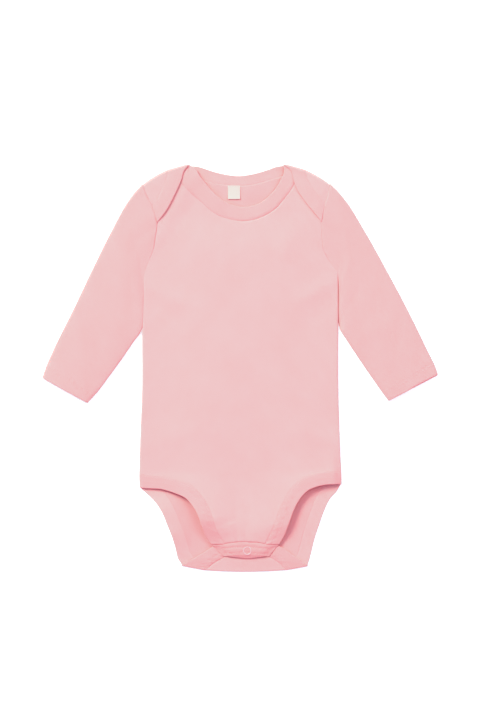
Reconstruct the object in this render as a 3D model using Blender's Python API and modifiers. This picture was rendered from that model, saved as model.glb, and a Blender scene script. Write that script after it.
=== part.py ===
"""Baby bodysuit with long sleeves and an envelope neck, laid flat on its back.

Frame: metres, +Z up. The garment rests on z = 0, its neck points to +Y and its front faces up.
Tables and sizes below are in millimetres, in plan unless they say otherwise.

The back panel is the lowest layer. Its shoulders fold forward over the front as laps, and its
crotch folds up to the front as a flap, which the front placket covers. The front's shoulders fold
backward inside the laps. Every sewn piece is a cloth wall of its own, SEAM apart from its neighbour.
"""

import math
from collections import namedtuple

import bmesh
import bpy
import numpy as np

GARMENT = "baby_bodysuit"
MM = 0.001

# Cloth and sewing.
WALL = 1.2  # single jersey with its loft
BAND = 1.6  # doubled jersey: bands, plackets and sleeve hems
SEAM = 0.3  # gap that sewn or touching pieces keep
LAYER = BAND + SEAM  # height of one layer in a stack
NECK_BAND_WIDTH = 14.5
LEG_BAND_WIDTH = 13.2
LEG_BAND_END_WIDTH = 14.5  # where it is cut level by the placket
SLEEVE_HEM = 13.0
ARMHOLE_CLEAR = 0.7  # between a sleeve's curved end and the straight steps of the panels
ARMHOLE_CLEAR_POWER = 0.3  # how soon it grows from nothing at the seam's ends
SLEEVE_HEAD = 0.28  # share of a sleeve's length in which its top comes down to FRONT_LEVEL
HIP_CLEAR = 0.6  # what a leg band's seam keeps more at the hip, where the panel bends down
HIP_CLEAR_FROM, HIP_CLEAR_FULL = 0.35, 0.1  # shares of the band's length

# Heights of the underside of each layer.
FRONT_LEVEL = 2.4
SHOULDER_FLAP_LEVEL = LAYER
SHOULDER_FRONT_LEVEL = 2 * LAYER
SHOULDER_LAP_LEVEL = 3 * LAYER
CROTCH_FLAP_LEVEL = LAYER

# Snap, sewn through the middle of the plackets and closed.
SNAP_X, SNAP_Y = 7.7, -192.7
SNAP_PAIR_RADIUS, SNAP_PAIR_HEIGHT = 4.6, 1.0
SNAP_RING_RADIUS, SNAP_RING_WIRE = 3.8, 0.85
CROTCH_FRONT_LEVEL = CROTCH_FLAP_LEVEL + BAND + SEAM + SNAP_PAIR_HEIGHT + SEAM

# Where the front climbs from FRONT_LEVEL: across the laps' seams, up the yoke and down to the crotch.
LAP_RISE_FROM, LAP_RISE_FULL = 26.0, 7.0  # from the lap's line towards the middle
YOKE_RISE_FROM, YOKE_RISE_FULL = 108.0, 146.0
CROTCH_RISE_FROM, CROTCH_RISE_FULL = -104.0, -186.0
LAP_LAYER_FROM, LAP_LAYER_FULL = 146.0, 166.0  # where a sleeve's end climbs from front to lap

# Label, sewn under the back neck band.
LABEL_LEFT, LABEL_RIGHT = -12.7, 0.4
LABEL_BOTTOM, LABEL_TOP = 176.2, 190.5
LABEL_THICKNESS = 0.6

# Outline tables. A Pair holds a point of the wearer's right side (left in plan) and of the other.
Pair = namedtuple("Pair", "left_x left_y right_x right_y")
Edges = namedtuple("Edges", "edge_x edge_y seam_x seam_y")

BODY_SIDE = (
    Pair(-106.0, -112.5, 106.4, -109.5),
    Pair(-105.0, -77.0, 105.0, -77.0),
    Pair(-103.0, -24.0, 103.5, -24.0),
    Pair(-102.8, 42.0, 103.4, 42.0),
    Pair(-102.2, 72.0, 103.4, 72.0),
    Pair(-101.9, 100.0, 103.4, 100.0),
)
HIP = Pair(-105.4, -126.8, 106.6, -123.2)
ARMHOLE = (
    Pair(-101.9, 100.0, 103.4, 100.0),
    Pair(-96.4, 110.3, 95.2, 109.4),
    Pair(-91.2, 122.0, 88.4, 121.0),
    Pair(-88.2, 138.0, 85.9, 137.0),
    Pair(-86.6, 152.0, 85.2, 152.5),
    Pair(-88.6, 162.0, 86.4, 162.0),
    Pair(-92.4, 170.4, 88.6, 170.4),
    Pair(-97.6, 179.4, 91.2, 179.4),
    Pair(-101.1, 188.9, 93.4, 189.1),
)
SHOULDER_PEAK = Pair(-54.1, 211.4, 46.8, 211.6)
SHOULDER_CROWN = 2.5  # how far the shoulder fold bows out between peak and armhole
LAP_EDGE = (
    Pair(-54.1, 211.4, 46.8, 211.6),
    Pair(-58.8, 205.6, 53.6, 205.6),
    Pair(-61.2, 197.2, 56.0, 196.0),
    Pair(-65.0, 188.0, 60.0, 186.0),
    Pair(-69.8, 177.9, 66.4, 176.0),
    Pair(-76.6, 165.2, 74.8, 165.2),
    Pair(-85.5, 153.6, 84.2, 154.0),
)
LAP_SEAM_END = 6  # the row of ARMHOLE where the lap's band seam runs out
LAP_END_SHARE = 0.93  # how near to that point the lap's last row lies
LAP_TIP_CLEAR = 1.0  # between the band's end, cut straight, and the curve of the armhole
BACK_NECK = (
    Edges(-43.5, 210.4, -52.0, 200.4),
    Edges(-34.7, 207.6, -38.5, 195.9),
    Edges(-26.3, 204.9, -28.0, 193.6),
    Edges(-9.0, 201.4, -10.5, 191.0),
    Edges(-1.0, 200.8, -1.5, 190.5),
    Edges(8.0, 201.8, 7.6, 191.0),
    Edges(20.0, 204.4, 20.0, 193.2),
    Edges(31.0, 207.9, 33.5, 197.4),
    Edges(38.0, 210.4, 46.5, 201.4),
)
FRONT_NECK = (
    Edges(-46.6, 208.3, -63.0, 195.6),
    Edges(-43.0, 201.8, -58.3, 189.9),
    Edges(-36.5, 193.3, -50.0, 182.0),
    Edges(-28.5, 184.0, -40.0, 173.2),
    Edges(-17.6, 174.6, -26.5, 161.9),
    Edges(-5.0, 169.1, -8.0, 155.2),
    Edges(6.0, 168.2, 7.0, 153.9),
    Edges(17.0, 170.6, 22.0, 158.0),
    Edges(28.0, 177.5, 36.0, 166.2),
    Edges(36.5, 186.3, 46.2, 177.3),
    Edges(42.8, 196.5, 53.6, 187.6),
    Edges(46.6, 206.0, 59.0, 197.0),
)
# Where the neck edges and band seams cross the shoulder fold, as a share of its length.
BACK_EDGE_ON_FOLD, BACK_SEAM_ON_FOLD = 0.0, 0.31
FRONT_EDGE_ON_FOLD, FRONT_SEAM_ON_FOLD = -0.07, 0.27

FRONT_LEG = (
    Pair(-94.5, -127.5, 98.7, -122.9),
    Pair(-84.0, -128.0, 89.3, -123.8),
    Pair(-75.6, -129.7, 81.0, -125.8),
    Pair(-66.5, -133.0, 73.0, -129.6),
    Pair(-57.5, -137.3, 65.8, -136.2),
    Pair(-50.4, -144.0, 60.2, -145.0),
    Pair(-44.0, -152.4, 55.8, -155.6),
    Pair(-38.9, -163.5, 51.7, -166.8),
    Pair(-34.6, -175.8, 47.2, -177.8),
    Pair(-29.3, -185.6, 42.2, -185.6),
)
BACK_LEG = (
    Pair(-100.4, -131.0, 101.4, -131.0),
    Pair(-94.0, -136.6, 95.2, -137.6),
    Pair(-87.0, -144.4, 90.3, -146.4),
    Pair(-81.4, -153.4, 86.2, -156.8),
    Pair(-76.6, -165.2, 82.2, -168.6),
    Pair(-71.6, -177.8, 78.6, -179.4),
    Pair(-67.8, -190.4, 75.6, -191.4),
    Pair(-64.9, -201.6, 72.9, -202.2),
)
# The crotch flap, folded up to the front: a band along each leg edge, and the seam inside it.
FLAP_EDGE = (
    Pair(-49.6, -201.6, 59.6, -200.4),
    Pair(-38.4, -194.8, 49.0, -193.0),
    Pair(-27.8, -188.0, 40.3, -187.3),
)
FLAP_SEAM = (
    Pair(-30.3, -208.2, 44.2, -207.0),
    Pair(-23.6, -203.4, 39.8, -202.6),
    Pair(-17.0, -199.3, 35.9, -199.1),
)
CROTCH_CORNER = Pair(-61.2, -207.6, 71.0, -208.0)
CROTCH_SEAM_X = Pair(-35.4, 0.0, 47.6, 0.0)  # where the seams cross the crotch fold
CROTCH_SEAM_RISE = 1.5  # eases the seam's last bend before the fold
CROTCH_LOWEST_X, CROTCH_LOWEST_Y = 7.4, -214.2
CROTCH_RISE, CROTCH_RISE_SPAN = 3.1, 59.0  # the fold line climbs this much that far from its middle
PLACKET_BOTTOM = Pair(-21.0, -199.6, 33.8, -199.3)
PLACKET_SAG = 1.4
PLACKET_TOP_RISE = 2.2

SLEEVE_OUTER = (
    Pair(-102.7, 192.2, 95.0, 192.4),
    Pair(-108.6, 185.9, 102.0, 185.4),
    Pair(-116.6, 175.4, 110.3, 175.4),
    Pair(-134.4, 143.9, 130.2, 143.9),
    Pair(-155.4, 101.9, 153.8, 101.9),
    Pair(-175.4, 59.9, 176.1, 59.9),
    Pair(-196.4, 17.9, 197.4, 17.9),
    Pair(-204.8, -1.6, 205.9, -1.6),
    Pair(-207.6, -10.6, 207.9, -7.6),
)
SLEEVE_INNER = (
    Pair(-103.4, 99.6, 104.9, 99.6),
    Pair(-103.7, 72.0, 104.9, 72.0),
    Pair(-104.2, 48.0, 104.8, 48.0),
    Pair(-106.4, 35.0, 107.0, 34.0),
    Pair(-118.7, 17.9, 117.6, 17.9),
    Pair(-132.3, -3.2, 132.3, -3.2),
    Pair(-148.0, -24.2, 147.0, -24.2),
    Pair(-159.6, -37.3, 155.4, -35.0),
)

JERSEY, BINDING = (0.84, 0.54, 0.56), (0.82, 0.51, 0.54)
SNAP_PINK, LABEL_WHITE = (0.86, 0.66, 0.66), (0.80, 0.82, 0.78)
CLOTH_ROUGHNESS, CLOTH_SHEEN, SNAP_ROUGHNESS = 0.9, 0.3, 0.35

# Grid steps.
FOLD_STEPS = 6  # round a half-circle fold
ROLL_ANGLES = (17.0, 25.0, 56.0, 90.0)  # degrees, from a side seam up to the flat of the panel
FLAT_STEPS = (0.0, 0.5, 1.2, 2.0)  # the same columns where the panel ends in a flat seam
SHOULDER_COLUMNS, NECK_COLUMNS = 3, 12
SHOULDER_SHARE = 0.17  # of a panel's width that runs up into each shoulder
ARMHOLE_REACH = 3  # power with which an armhole's curve fades out across the yoke
SIDE_ROWS, YOKE_ROWS, LAP_ROWS, LEG_ROWS, FLAP_ROWS = 6, 9, 4, 12, 3
BAND_COLUMNS, PLACKET_COLUMNS = 3, 8
SLEEVE_ACROSS, SLEEVE_ALONG = 7, 11
ARMHOLE_STEPS = 32
HEM_STEP = 0.004  # share of a sleeve's length in which its wall thickens to the hem

SAME_PLACE = 0.001  # points nearer than this are one
SNAP_SIDES, SNAP_WIRE_SIDES = 24, 8

LEFT, RIGHT = 1.0, -1.0  # sign that turns "towards the middle" into +X or -X


def on_side(table, side):
    """The points of one side from a table of Pairs."""
    if side == LEFT:
        return np.array([(row.left_x, row.left_y) for row in table])
    return np.array([(row.right_x, row.right_y) for row in table])


def smooth(points, places):
    """Points at these shares of the length of a smooth curve through the given points."""
    points = np.asarray(points, float)
    steps = np.linalg.norm(np.diff(points, axis=0), axis=1)
    knots = np.concatenate(([0.0], np.cumsum(steps)))
    slopes = np.gradient(points, knots, axis=0)
    wanted = np.asarray(places, float) * knots[-1]
    piece = np.clip(np.searchsorted(knots, wanted, side="right") - 1, 0, len(steps) - 1)
    step = steps[piece][:, None]
    f = ((wanted - knots[piece]) / steps[piece])[:, None]
    start, end = points[piece], points[piece + 1]
    curve = (1 + 2 * f) * (1 - f) ** 2 * start + f * f * (3 - 2 * f) * end
    return curve + step * (f * (1 - f) ** 2 * slopes[piece] + f * f * (f - 1) * slopes[piece + 1])


def even_places(steps):
    """Shares from 0 to 1 in this many even steps."""
    return np.linspace(0.0, 1.0, steps + 1)


def evenly(points, count):
    """The curve through these points as this many evenly spaced ones."""
    return smooth(points, even_places(count - 1))


def inset(edge, width, side):
    """The curve that lies this far inside an edge which runs down its side."""
    run = np.gradient(edge, axis=0)
    run /= np.linalg.norm(run, axis=1)[:, None]
    return edge + side * width * np.stack([-run[:, 1], run[:, 0]], axis=1)


def pulled_back(seam, edge, gap):
    """Points of a band's seam moved this far towards the band's edge."""
    towards = edge - seam
    return seam + (gap / np.linalg.norm(towards, axis=1))[:, None] * towards


def ease(value, start, end):
    """0 before start and 1 after end, with a soft change between."""
    share = np.clip((np.asarray(value, float) - start) / (end - start), 0.0, 1.0)
    return share * share * (3 - 2 * share)


# Heights


def shoulder_lift(plan):
    """1 where the front lies in a shoulder's stack of layers, falling to 0 over the chest."""
    lift = np.zeros(len(plan))
    for side in (LEFT, RIGHT):
        peak, tip = on_side((LAP_EDGE[0], LAP_EDGE[-1]), side)
        run = (tip - peak) / np.linalg.norm(tip - peak)
        inward = side * np.array([-run[1], run[0]])
        distance = (plan - peak) @ inward
        lift = np.maximum(lift, ease(distance, LAP_RISE_FROM, LAP_RISE_FULL))
    return lift * ease(plan[:, 1], YOKE_RISE_FROM, YOKE_RISE_FULL)


def crotch_lift(plan):
    """0 at the hips, growing to 1 at the placket."""
    return ease(plan[:, 1], CROTCH_RISE_FROM, CROTCH_RISE_FULL)


def front_level(plan):
    """The height of the front's underside."""
    to_shoulder = (SHOULDER_FRONT_LEVEL - FRONT_LEVEL) * shoulder_lift(plan)
    return FRONT_LEVEL + to_shoulder + (CROTCH_FRONT_LEVEL - FRONT_LEVEL) * crotch_lift(plan)


def flat_level(height):
    """A layer that lies level at this height."""
    return lambda plan: np.full(len(plan), float(height))


def raised(plan, level, thickness):
    """The middle of a cloth of this thickness whose underside is at this level."""
    return np.column_stack([plan, level(plan) + thickness / 2])


# Folds


def fold_line(side, shares):
    """Points on the axis of a shoulder fold, from its peak (0) to its armhole (1)."""
    peak = on_side((SHOULDER_PEAK,), side)[0]
    armhole = on_side(ARMHOLE, side)[-1]
    shares = np.asarray(shares, float)[:, None]
    crown = 4 * SHOULDER_CROWN * shares * (1 - shares)
    return peak + shares * (armhole - peak) + crown * fold_normal(side)


def fold_normal(side):
    """The way a shoulder fold faces: square to it, away from the chest."""
    peak = on_side((SHOULDER_PEAK,), side)[0]
    armhole = on_side(ARMHOLE, side)[-1]
    run = (armhole - peak) / np.linalg.norm(armhole - peak)
    return side * np.array([run[1], -run[0]])


def armhole_end(side):
    """The way an armhole seam runs where it reaches the shoulder fold."""
    below, top = on_side(ARMHOLE[-2:], side)
    return (top - below) / np.linalg.norm(top - below)


def turned(axis, outward, low, high):
    """Rows of points round a half circle, from one height to the other."""
    radius, middle = (high - low) / 2, (high + low) / 2
    rows = []
    for angle in np.pi * np.arange(1, FOLD_STEPS) / FOLD_STEPS:
        height = np.full(len(axis), middle - radius * math.cos(angle))
        plan = axis + outward * abs(radius) * math.sin(angle)
        rows.append(np.column_stack([plan, height]))
    return rows


def crotch_fold(x, thickness):
    """Points on the axis of the crotch fold."""
    outline = CROTCH_LOWEST_Y + CROTCH_RISE * ((x - CROTCH_LOWEST_X) / CROTCH_RISE_SPAN) ** 2
    radius = CROTCH_FLAP_LEVEL / 2
    return np.column_stack([x, outline + radius + thickness / 2])


# Rows of the panels


def column_shares():
    """Where a panel's inner columns stand across its width, from 0 to 1."""
    left = np.linspace(0.0, SHOULDER_SHARE, SHOULDER_COLUMNS + 1)
    neck = np.linspace(SHOULDER_SHARE, 1 - SHOULDER_SHARE, NECK_COLUMNS + 1)
    return np.concatenate([left, neck[1:], 1 - left[-2::-1]])


def side_roll(thickness, level):
    """Radius and height of the roll in which a front piece and a back piece meet at the side."""
    low, high = thickness / 2, level + thickness / 2
    return (high - low) / 2, (high + low) / 2


def across(left, right, roll=False):
    """A row in plan from one point to another: close columns at each end, then the inner ones."""
    radius, _ = side_roll(WALL, FRONT_LEVEL)
    rolled = WALL / 2 + radius * (1 - np.cos(np.radians(ROLL_ANGLES)))
    steps = rolled if roll else np.array(FLAT_STEPS)
    width = np.linalg.norm(right - left)
    inner = steps[-1] + column_shares() * (width - 2 * steps[-1])
    places = np.concatenate([steps[:-1], inner, width - steps[-2::-1]])
    return left + (places / width)[:, None] * (right - left)


def rolled_heights(row, facing):
    """Bends the ends of a row down (facing 1) or up (facing -1) to the side seam."""
    radius, middle = side_roll(WALL, FRONT_LEVEL)
    heights = middle + facing * radius * np.sin(np.radians(ROLL_ANGLES))
    count = len(ROLL_ANGLES)
    row[:count, 2] = heights
    row[-count:, 2] = heights[::-1]
    return row


def side_rows(level, facing):
    """Rows up the body, between the leg bands and the underarms."""
    left = evenly(on_side(BODY_SIDE, LEFT), SIDE_ROWS + 1)
    right = evenly(on_side(BODY_SIDE, RIGHT), SIDE_ROWS + 1)
    rows = []
    for start, end in zip(left, right):
        row = raised(across(start, end, roll=True), level, WALL)
        rows.append(rolled_heights(row, facing))
    return rows


def top_row(neck_seam, seam_on_fold):
    """The last flat row: along one shoulder fold, round the neck seam and along the other fold."""
    ends = []
    for side in (LEFT, RIGHT):
        close = np.array(FLAT_STEPS) / np.linalg.norm(fold_line(side, [0.0]) - fold_line(side, [1.0]))
        shares = np.linspace(1 - close[-1], seam_on_fold, SHOULDER_COLUMNS + 1)
        ends.append(fold_line(side, np.concatenate([1 - close[:-1], shares])))
    neck = evenly(neck_seam, NECK_COLUMNS + 1)
    return np.concatenate([ends[0], neck[1:-1], ends[1][::-1]])


def yoke_rows(level, top):
    """Rows from the underarms to the top row, between the armholes."""
    base = across(*(on_side(ARMHOLE, side)[0] for side in (LEFT, RIGHT)), roll=True)
    heights = np.linspace(0.0, 1.0, YOKE_ROWS + 1)
    left = smooth(on_side(ARMHOLE, LEFT), heights)
    right = smooth(on_side(ARMHOLE, RIGHT), heights)
    u = ((base[:, 0] - base[0, 0]) / (base[-1, 0] - base[0, 0]))[:, None]
    near_left, near_right = (1 - u) ** ARMHOLE_REACH, u**ARMHOLE_REACH
    rows = []
    for share, start, end in zip(heights[1:-1], left[1:-1], right[1:-1]):
        plan = (1 - share) * base + share * top
        plan = plan + near_left * (start - plan[0]) + near_right * (end - plan[-1])
        rows.append(raised(plan, level, WALL))
    rows.append(raised(top, level, WALL))
    return rows


def lap_places():
    """Shares of a lap's length at its rows: the panel ends at the last but one."""
    return np.append(np.linspace(0.0, LAP_END_SHARE, LAP_ROWS + 1), 1.0)


def shoulder_columns():
    """How many columns at each end of a row run over the shoulder."""
    return len(FLAT_STEPS) + SHOULDER_COLUMNS


def over_shoulders(top, seams, low, high):
    """Rows over both shoulder folds and down to where the band seams meet the armholes.

    Low and high are the middles of the cloth before and after the fold. The neck's columns are
    filled with their first row, and their faces are left out by beyond_neck.
    """
    count = shoulder_columns()
    outward = []
    for side in (LEFT, RIGHT):
        blend = np.linspace(1.0, 0.0, count)[:, None]
        outward.append(blend * armhole_end(side) + (1 - blend) * fold_normal(side))
    fan = np.zeros_like(top)
    fan[:count], fan[-count:] = outward[0], outward[1][::-1]
    rows = turned(top, fan, low, high)
    rows.append(np.column_stack([top, np.full(len(top), high)]))
    for share in lap_places()[1:-1]:
        plan = top.copy()
        for side, seam in zip((LEFT, RIGHT), seams):
            columns = slice(0, count) if side == LEFT else slice(-1, -count - 1, -1)
            outer = smooth(on_side(ARMHOLE[LAP_SEAM_END:], side)[::-1], [share])[0]
            inner = smooth(seam, [share])[0]
            places = np.linalg.norm(top[columns] - top[columns][0], axis=1)
            plan[columns] = outer + (places / places[-1])[:, None] * (inner - outer)
        rows.append(np.column_stack([plan, np.full(len(plan), high)]))
    return rows


def leg_rows(left_seam, right_seam, level):
    """Rows between the seams of the leg bands, up to the last one below the side edges."""
    left, right = evenly(left_seam, LEG_ROWS + 1), evenly(right_seam, LEG_ROWS + 1)
    return [raised(across(a, b), level, WALL) for a, b in zip(left[:-1], right[:-1])]


# Edges that bands and panels share


def neck_curves(table, kinds, seam_on_fold, edge_on_fold):
    """The edge, the seam or both of a neck band, from one shoulder fold to the other."""
    shares = {"edge": edge_on_fold, "seam": seam_on_fold}
    curves = []
    for kind in kinds:
        start, end = (fold_line(side, [shares[kind]]) for side in (LEFT, RIGHT))
        middle = [(getattr(row, kind + "_x"), getattr(row, kind + "_y")) for row in table]
        curves.append(np.concatenate([start, middle, end]))
    return curves


def lap_curves(side, edge_on_fold, seam_on_fold):
    """The edge and the seam of the band on a shoulder lap, from the fold to the armhole."""
    edge = on_side(LAP_EDGE, side)
    edge[0] = fold_line(side, [edge_on_fold])[0]
    start = fold_line(side, [seam_on_fold])[0]
    end = on_side(ARMHOLE, side)[LAP_SEAM_END] + (side * LAP_TIP_CLEAR, 0.0)
    share = even_places(len(edge) - 1)[:, None]
    across_band = (1 - share) * (start - edge[0]) + share * (end - edge[-1])
    across_band *= NECK_BAND_WIDTH / np.linalg.norm(across_band, axis=1)[:, None]
    seam = edge + across_band
    seam[0], seam[-1] = start, end
    return edge, seam


def hip_seam(side):
    """Where the seams of both leg bands reach the side, just below the panels."""
    return on_side(BODY_SIDE, side)[0] - (0.0, SEAM)


def front_leg_curves(side):
    """The edge and the seam of a front leg band, from the hip to the placket."""
    edge = np.concatenate([on_side((HIP,), side), on_side(FRONT_LEG, side)])
    seam = inset(edge, LEG_BAND_WIDTH, side)
    seam[0] = hip_seam(side)
    seam[-1] = edge[-1] + (side * LEG_BAND_END_WIDTH, 0.0)
    return edge, seam


def back_leg_curves(side):
    """The edge and the seam of a back leg band, from the hip to the crotch fold."""
    corner = on_side((CROTCH_CORNER,), side)
    edge = np.concatenate([on_side((HIP,), side), on_side(BACK_LEG, side), corner])
    seam = inset(edge, LEG_BAND_WIDTH, side)
    seam[0] = hip_seam(side)
    seam[-2] = seam[-2] + (0.0, CROTCH_SEAM_RISE)
    seam[-1] = crotch_fold(on_side((CROTCH_SEAM_X,), side)[:, 0], BAND)[0]
    return edge, seam


def flap_curves(side):
    """The edge and the seam of the same band on the flap, from the fold to its end."""
    edge = np.concatenate([on_side((CROTCH_CORNER,), side), on_side(FLAP_EDGE, side)])
    start = crotch_fold(on_side((CROTCH_SEAM_X,), side)[:, 0], BAND)
    seam = np.concatenate([start, on_side(FLAP_SEAM, side)])
    return edge, seam


def bowed(line, rise):
    """A level line bent up by this much in its middle."""
    share = (line[:, 0] - line[0, 0]) / (line[-1, 0] - line[0, 0])
    return line + np.column_stack([np.zeros(len(line)), 4 * rise * share * (1 - share)])


# Panels


def back_rows():
    """The back: crotch flap, crotch fold, seat, body, yoke, shoulder folds and laps."""
    back, flap = flat_level(0.0), flat_level(CROTCH_FLAP_LEVEL)
    flap_seams = [evenly(flap_curves(side)[1], FLAP_ROWS + 1)[::-1] for side in (LEFT, RIGHT)]
    rows = [raised(across(a, b), flap, WALL) for a, b in zip(*flap_seams)]
    fold_row = across(flap_seams[0][-1], flap_seams[1][-1])
    fold_row = crotch_fold(fold_row[:, 0], BAND)
    rows[-1] = raised(fold_row, flap, WALL)
    down = np.tile((0.0, -1.0), (len(fold_row), 1))
    rows += turned(fold_row, down, WALL / 2, CROTCH_FLAP_LEVEL + WALL / 2)[::-1]
    seams = [back_leg_curves(side)[1][::-1] for side in (LEFT, RIGHT)]
    seat = leg_rows(*seams, back)
    seat[0] = raised(fold_row, back, WALL)
    rows += seat
    rows += side_rows(back, -1)
    seam = neck_curves(BACK_NECK, ("seam",), BACK_SEAM_ON_FOLD, 0.0)[0]
    top = top_row(seam, BACK_SEAM_ON_FOLD)
    rows += yoke_rows(back, top)
    seams = [lap_curves(side, BACK_EDGE_ON_FOLD, BACK_SEAM_ON_FOLD)[1] for side in (LEFT, RIGHT)]
    rows += over_shoulders(top, seams, WALL / 2, SHOULDER_LAP_LEVEL + WALL / 2)
    return rows


def front_rows():
    """The front: from the placket up the body and yoke, over the shoulder folds to the inside."""
    seams = [front_leg_curves(side)[1][::-1] for side in (LEFT, RIGHT)]
    rows = leg_rows(*seams, front_level)
    bottom = bowed(across(seams[0][0], seams[1][0]), PLACKET_TOP_RISE)
    rows[0] = raised(bottom, front_level, WALL)
    rows += side_rows(front_level, 1)
    seam = neck_curves(FRONT_NECK, ("seam",), FRONT_SEAM_ON_FOLD, 0.0)[0]
    top = top_row(seam, FRONT_SEAM_ON_FOLD)
    rows += yoke_rows(front_level, top)
    seams = [lap_curves(side, FRONT_EDGE_ON_FOLD, FRONT_SEAM_ON_FOLD)[1] for side in (LEFT, RIGHT)]
    high, low = SHOULDER_FRONT_LEVEL + WALL / 2, SHOULDER_FLAP_LEVEL + WALL / 2
    rows += over_shoulders(top, seams, high, low)
    return rows


def beyond_neck(rows):
    """Says which faces of a panel lie past the neck seam, where there is no cloth."""
    last = len(rows) - 1 - (FOLD_STEPS - 1) - (LAP_ROWS + 1)
    first_column = shoulder_columns() - 1
    last_column = len(rows[0]) - shoulder_columns()

    def left_out(row, column):
        return row >= last and first_column <= column < last_column

    return left_out


# Bands


def ribbon(edge, seam):
    """Rows across a band, one for each pair of points, from its edge to its seam."""
    places = np.linspace(0.0, 1.0, BAND_COLUMNS + 1)[:, None]
    return [start + places * (end - start) for start, end in zip(edge, seam)]


def band_layer(edge, seam, level, places, more_gap=0.0):
    """A stretch of band in one layer, as its edge and its seam, at these shares of its length."""
    edge, seam = smooth(edge, places), smooth(seam, places)
    gap = SEAM + more_gap * ease(places, HIP_CLEAR_FROM, HIP_CLEAR_FULL)
    return raised(edge, level, BAND), raised(pulled_back(seam, edge, gap), level, BAND)


def neck_band_rows(table, edge_on_fold, seam_on_fold, level, fold_heights, past):
    """A neck band: from one lap's end over its fold, round the neck and over the other fold."""
    edge, seam = neck_curves(table, ("edge", "seam"), seam_on_fold, edge_on_fold)
    edge, seam = band_layer(edge, seam, level, even_places(NECK_COLUMNS))
    near, far = fold_heights
    ends = []
    for side, index in ((LEFT, 0), (RIGHT, -1)):
        lap_edge, lap_seam = lap_curves(side, edge_on_fold, seam_on_fold)
        lap_edge, lap_seam = band_layer(lap_edge, lap_seam, flat_level(past), lap_places())
        outward = fold_normal(side)
        edge_turn = turned(edge[[index], :2], outward, near, far)
        seam_turn = turned(seam[[index], :2], outward, near, far)
        ends.append((
            np.concatenate([*edge_turn, lap_edge]),
            np.concatenate([*seam_turn, lap_seam]),
        ))
    whole_edge = np.concatenate([ends[0][0][::-1], edge, ends[1][0]])
    whole_seam = np.concatenate([ends[0][1][::-1], seam, ends[1][1]])
    return ribbon(whole_edge, whole_seam)


def back_neck_rows():
    middle = BAND / 2
    heights = (middle, SHOULDER_LAP_LEVEL + middle)
    return neck_band_rows(
        BACK_NECK, BACK_EDGE_ON_FOLD, BACK_SEAM_ON_FOLD, flat_level(0.0), heights, SHOULDER_LAP_LEVEL
    )


def front_neck_rows():
    middle = BAND / 2
    heights = (SHOULDER_FRONT_LEVEL + middle, SHOULDER_FLAP_LEVEL + middle)
    return neck_band_rows(
        FRONT_NECK, FRONT_EDGE_ON_FOLD, FRONT_SEAM_ON_FOLD, front_level, heights, SHOULDER_FLAP_LEVEL
    )


def hip_roll(edge, seam, side, facing):
    """Adds the rows in which a leg band bends to the side seam."""
    radius, middle = side_roll(BAND, FRONT_LEVEL)
    rolled = []
    for line in (edge, seam):
        points = []
        for angle in np.radians(ROLL_ANGLES):
            out = BAND / 2 + radius * (1 - math.cos(angle))
            share = out / abs(line[1, 0] - line[0, 0])
            plan = line[0, :2] + share * (line[1, :2] - line[0, :2])
            points.append((*plan, middle + facing * radius * math.sin(angle)))
        rolled.append(np.concatenate([points, line[1:]]))
    return rolled


def front_leg_rows(side):
    edge, seam = front_leg_curves(side)
    edge, seam = band_layer(edge, seam, front_level, even_places(LEG_ROWS), HIP_CLEAR)
    return ribbon(*hip_roll(edge, seam, side, 1))


def back_leg_rows(side):
    """From the hip round the leg to the crotch fold, over it and up the flap."""
    curves = back_leg_curves(side)
    edge, seam = band_layer(*curves, flat_level(0.0), even_places(LEG_ROWS), HIP_CLEAR)
    edge, seam = hip_roll(edge, seam, side, -1)
    flap = flat_level(CROTCH_FLAP_LEVEL)
    flap_edge, flap_seam = band_layer(*flap_curves(side), flap, even_places(FLAP_ROWS))
    down = np.array((0.0, -1.0))
    low, high = BAND / 2, CROTCH_FLAP_LEVEL + BAND / 2
    edge = np.concatenate([edge, *turned(edge[-1:, :2], down, low, high), flap_edge])
    seam = np.concatenate([seam, *turned(seam[-1:, :2], down, low, high), flap_seam])
    return ribbon(edge, seam)


def front_placket_rows():
    left, right = (front_leg_curves(side) for side in (LEFT, RIGHT))
    share = even_places(PLACKET_COLUMNS)[:, None]
    between = bowed(left[1][-1] + share * (right[1][-1] - left[1][-1]), PLACKET_TOP_RISE)
    top = np.concatenate([left[0][-1:], between, right[0][-1:]]) - (0.0, SEAM)
    start, end = (on_side((PLACKET_BOTTOM,), side)[0] for side in (LEFT, RIGHT))
    share = ((top[:, 0] - top[0, 0]) / (top[-1, 0] - top[0, 0]))[:, None]
    bottom = bowed(start + share * (end - start), -PLACKET_SAG)
    level = flat_level(CROTCH_FRONT_LEVEL)
    return ribbon(raised(bottom, level, BAND), raised(top, level, BAND))


def back_placket_rows():
    """The end of the crotch flap, between the ends of its bands and under the front placket."""
    edges = [flap_curves(side)[0][-1] for side in (LEFT, RIGHT)]
    seams = [flap_curves(side)[1][-1] for side in (LEFT, RIGHT)]
    share = even_places(PLACKET_COLUMNS)[:, None]
    clear = np.array((2 * SEAM, SEAM))
    top = edges[0] + clear + share * (edges[1] - edges[0] - (2 * clear[0], 0.0))
    bottom = seams[0] + clear + share * (seams[1] - seams[0] - (2 * clear[0], 0.0))
    level = flat_level(CROTCH_FLAP_LEVEL)
    return ribbon(raised(top, level, BAND), raised(bottom, level, BAND))


# Sleeves


def sleeve_places():
    """Shares of a sleeve's length at its rings, the last of them in the hem."""
    length = np.linalg.norm(np.diff(on_side(SLEEVE_OUTER, LEFT), axis=0), axis=1).sum()
    hem = 1 - SLEEVE_HEM / length
    cloth_places = np.linspace(0.0, hem - HEM_STEP, SLEEVE_ALONG)
    return np.concatenate([cloth_places, [hem, (hem + 1) / 2, 1.0]])


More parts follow.
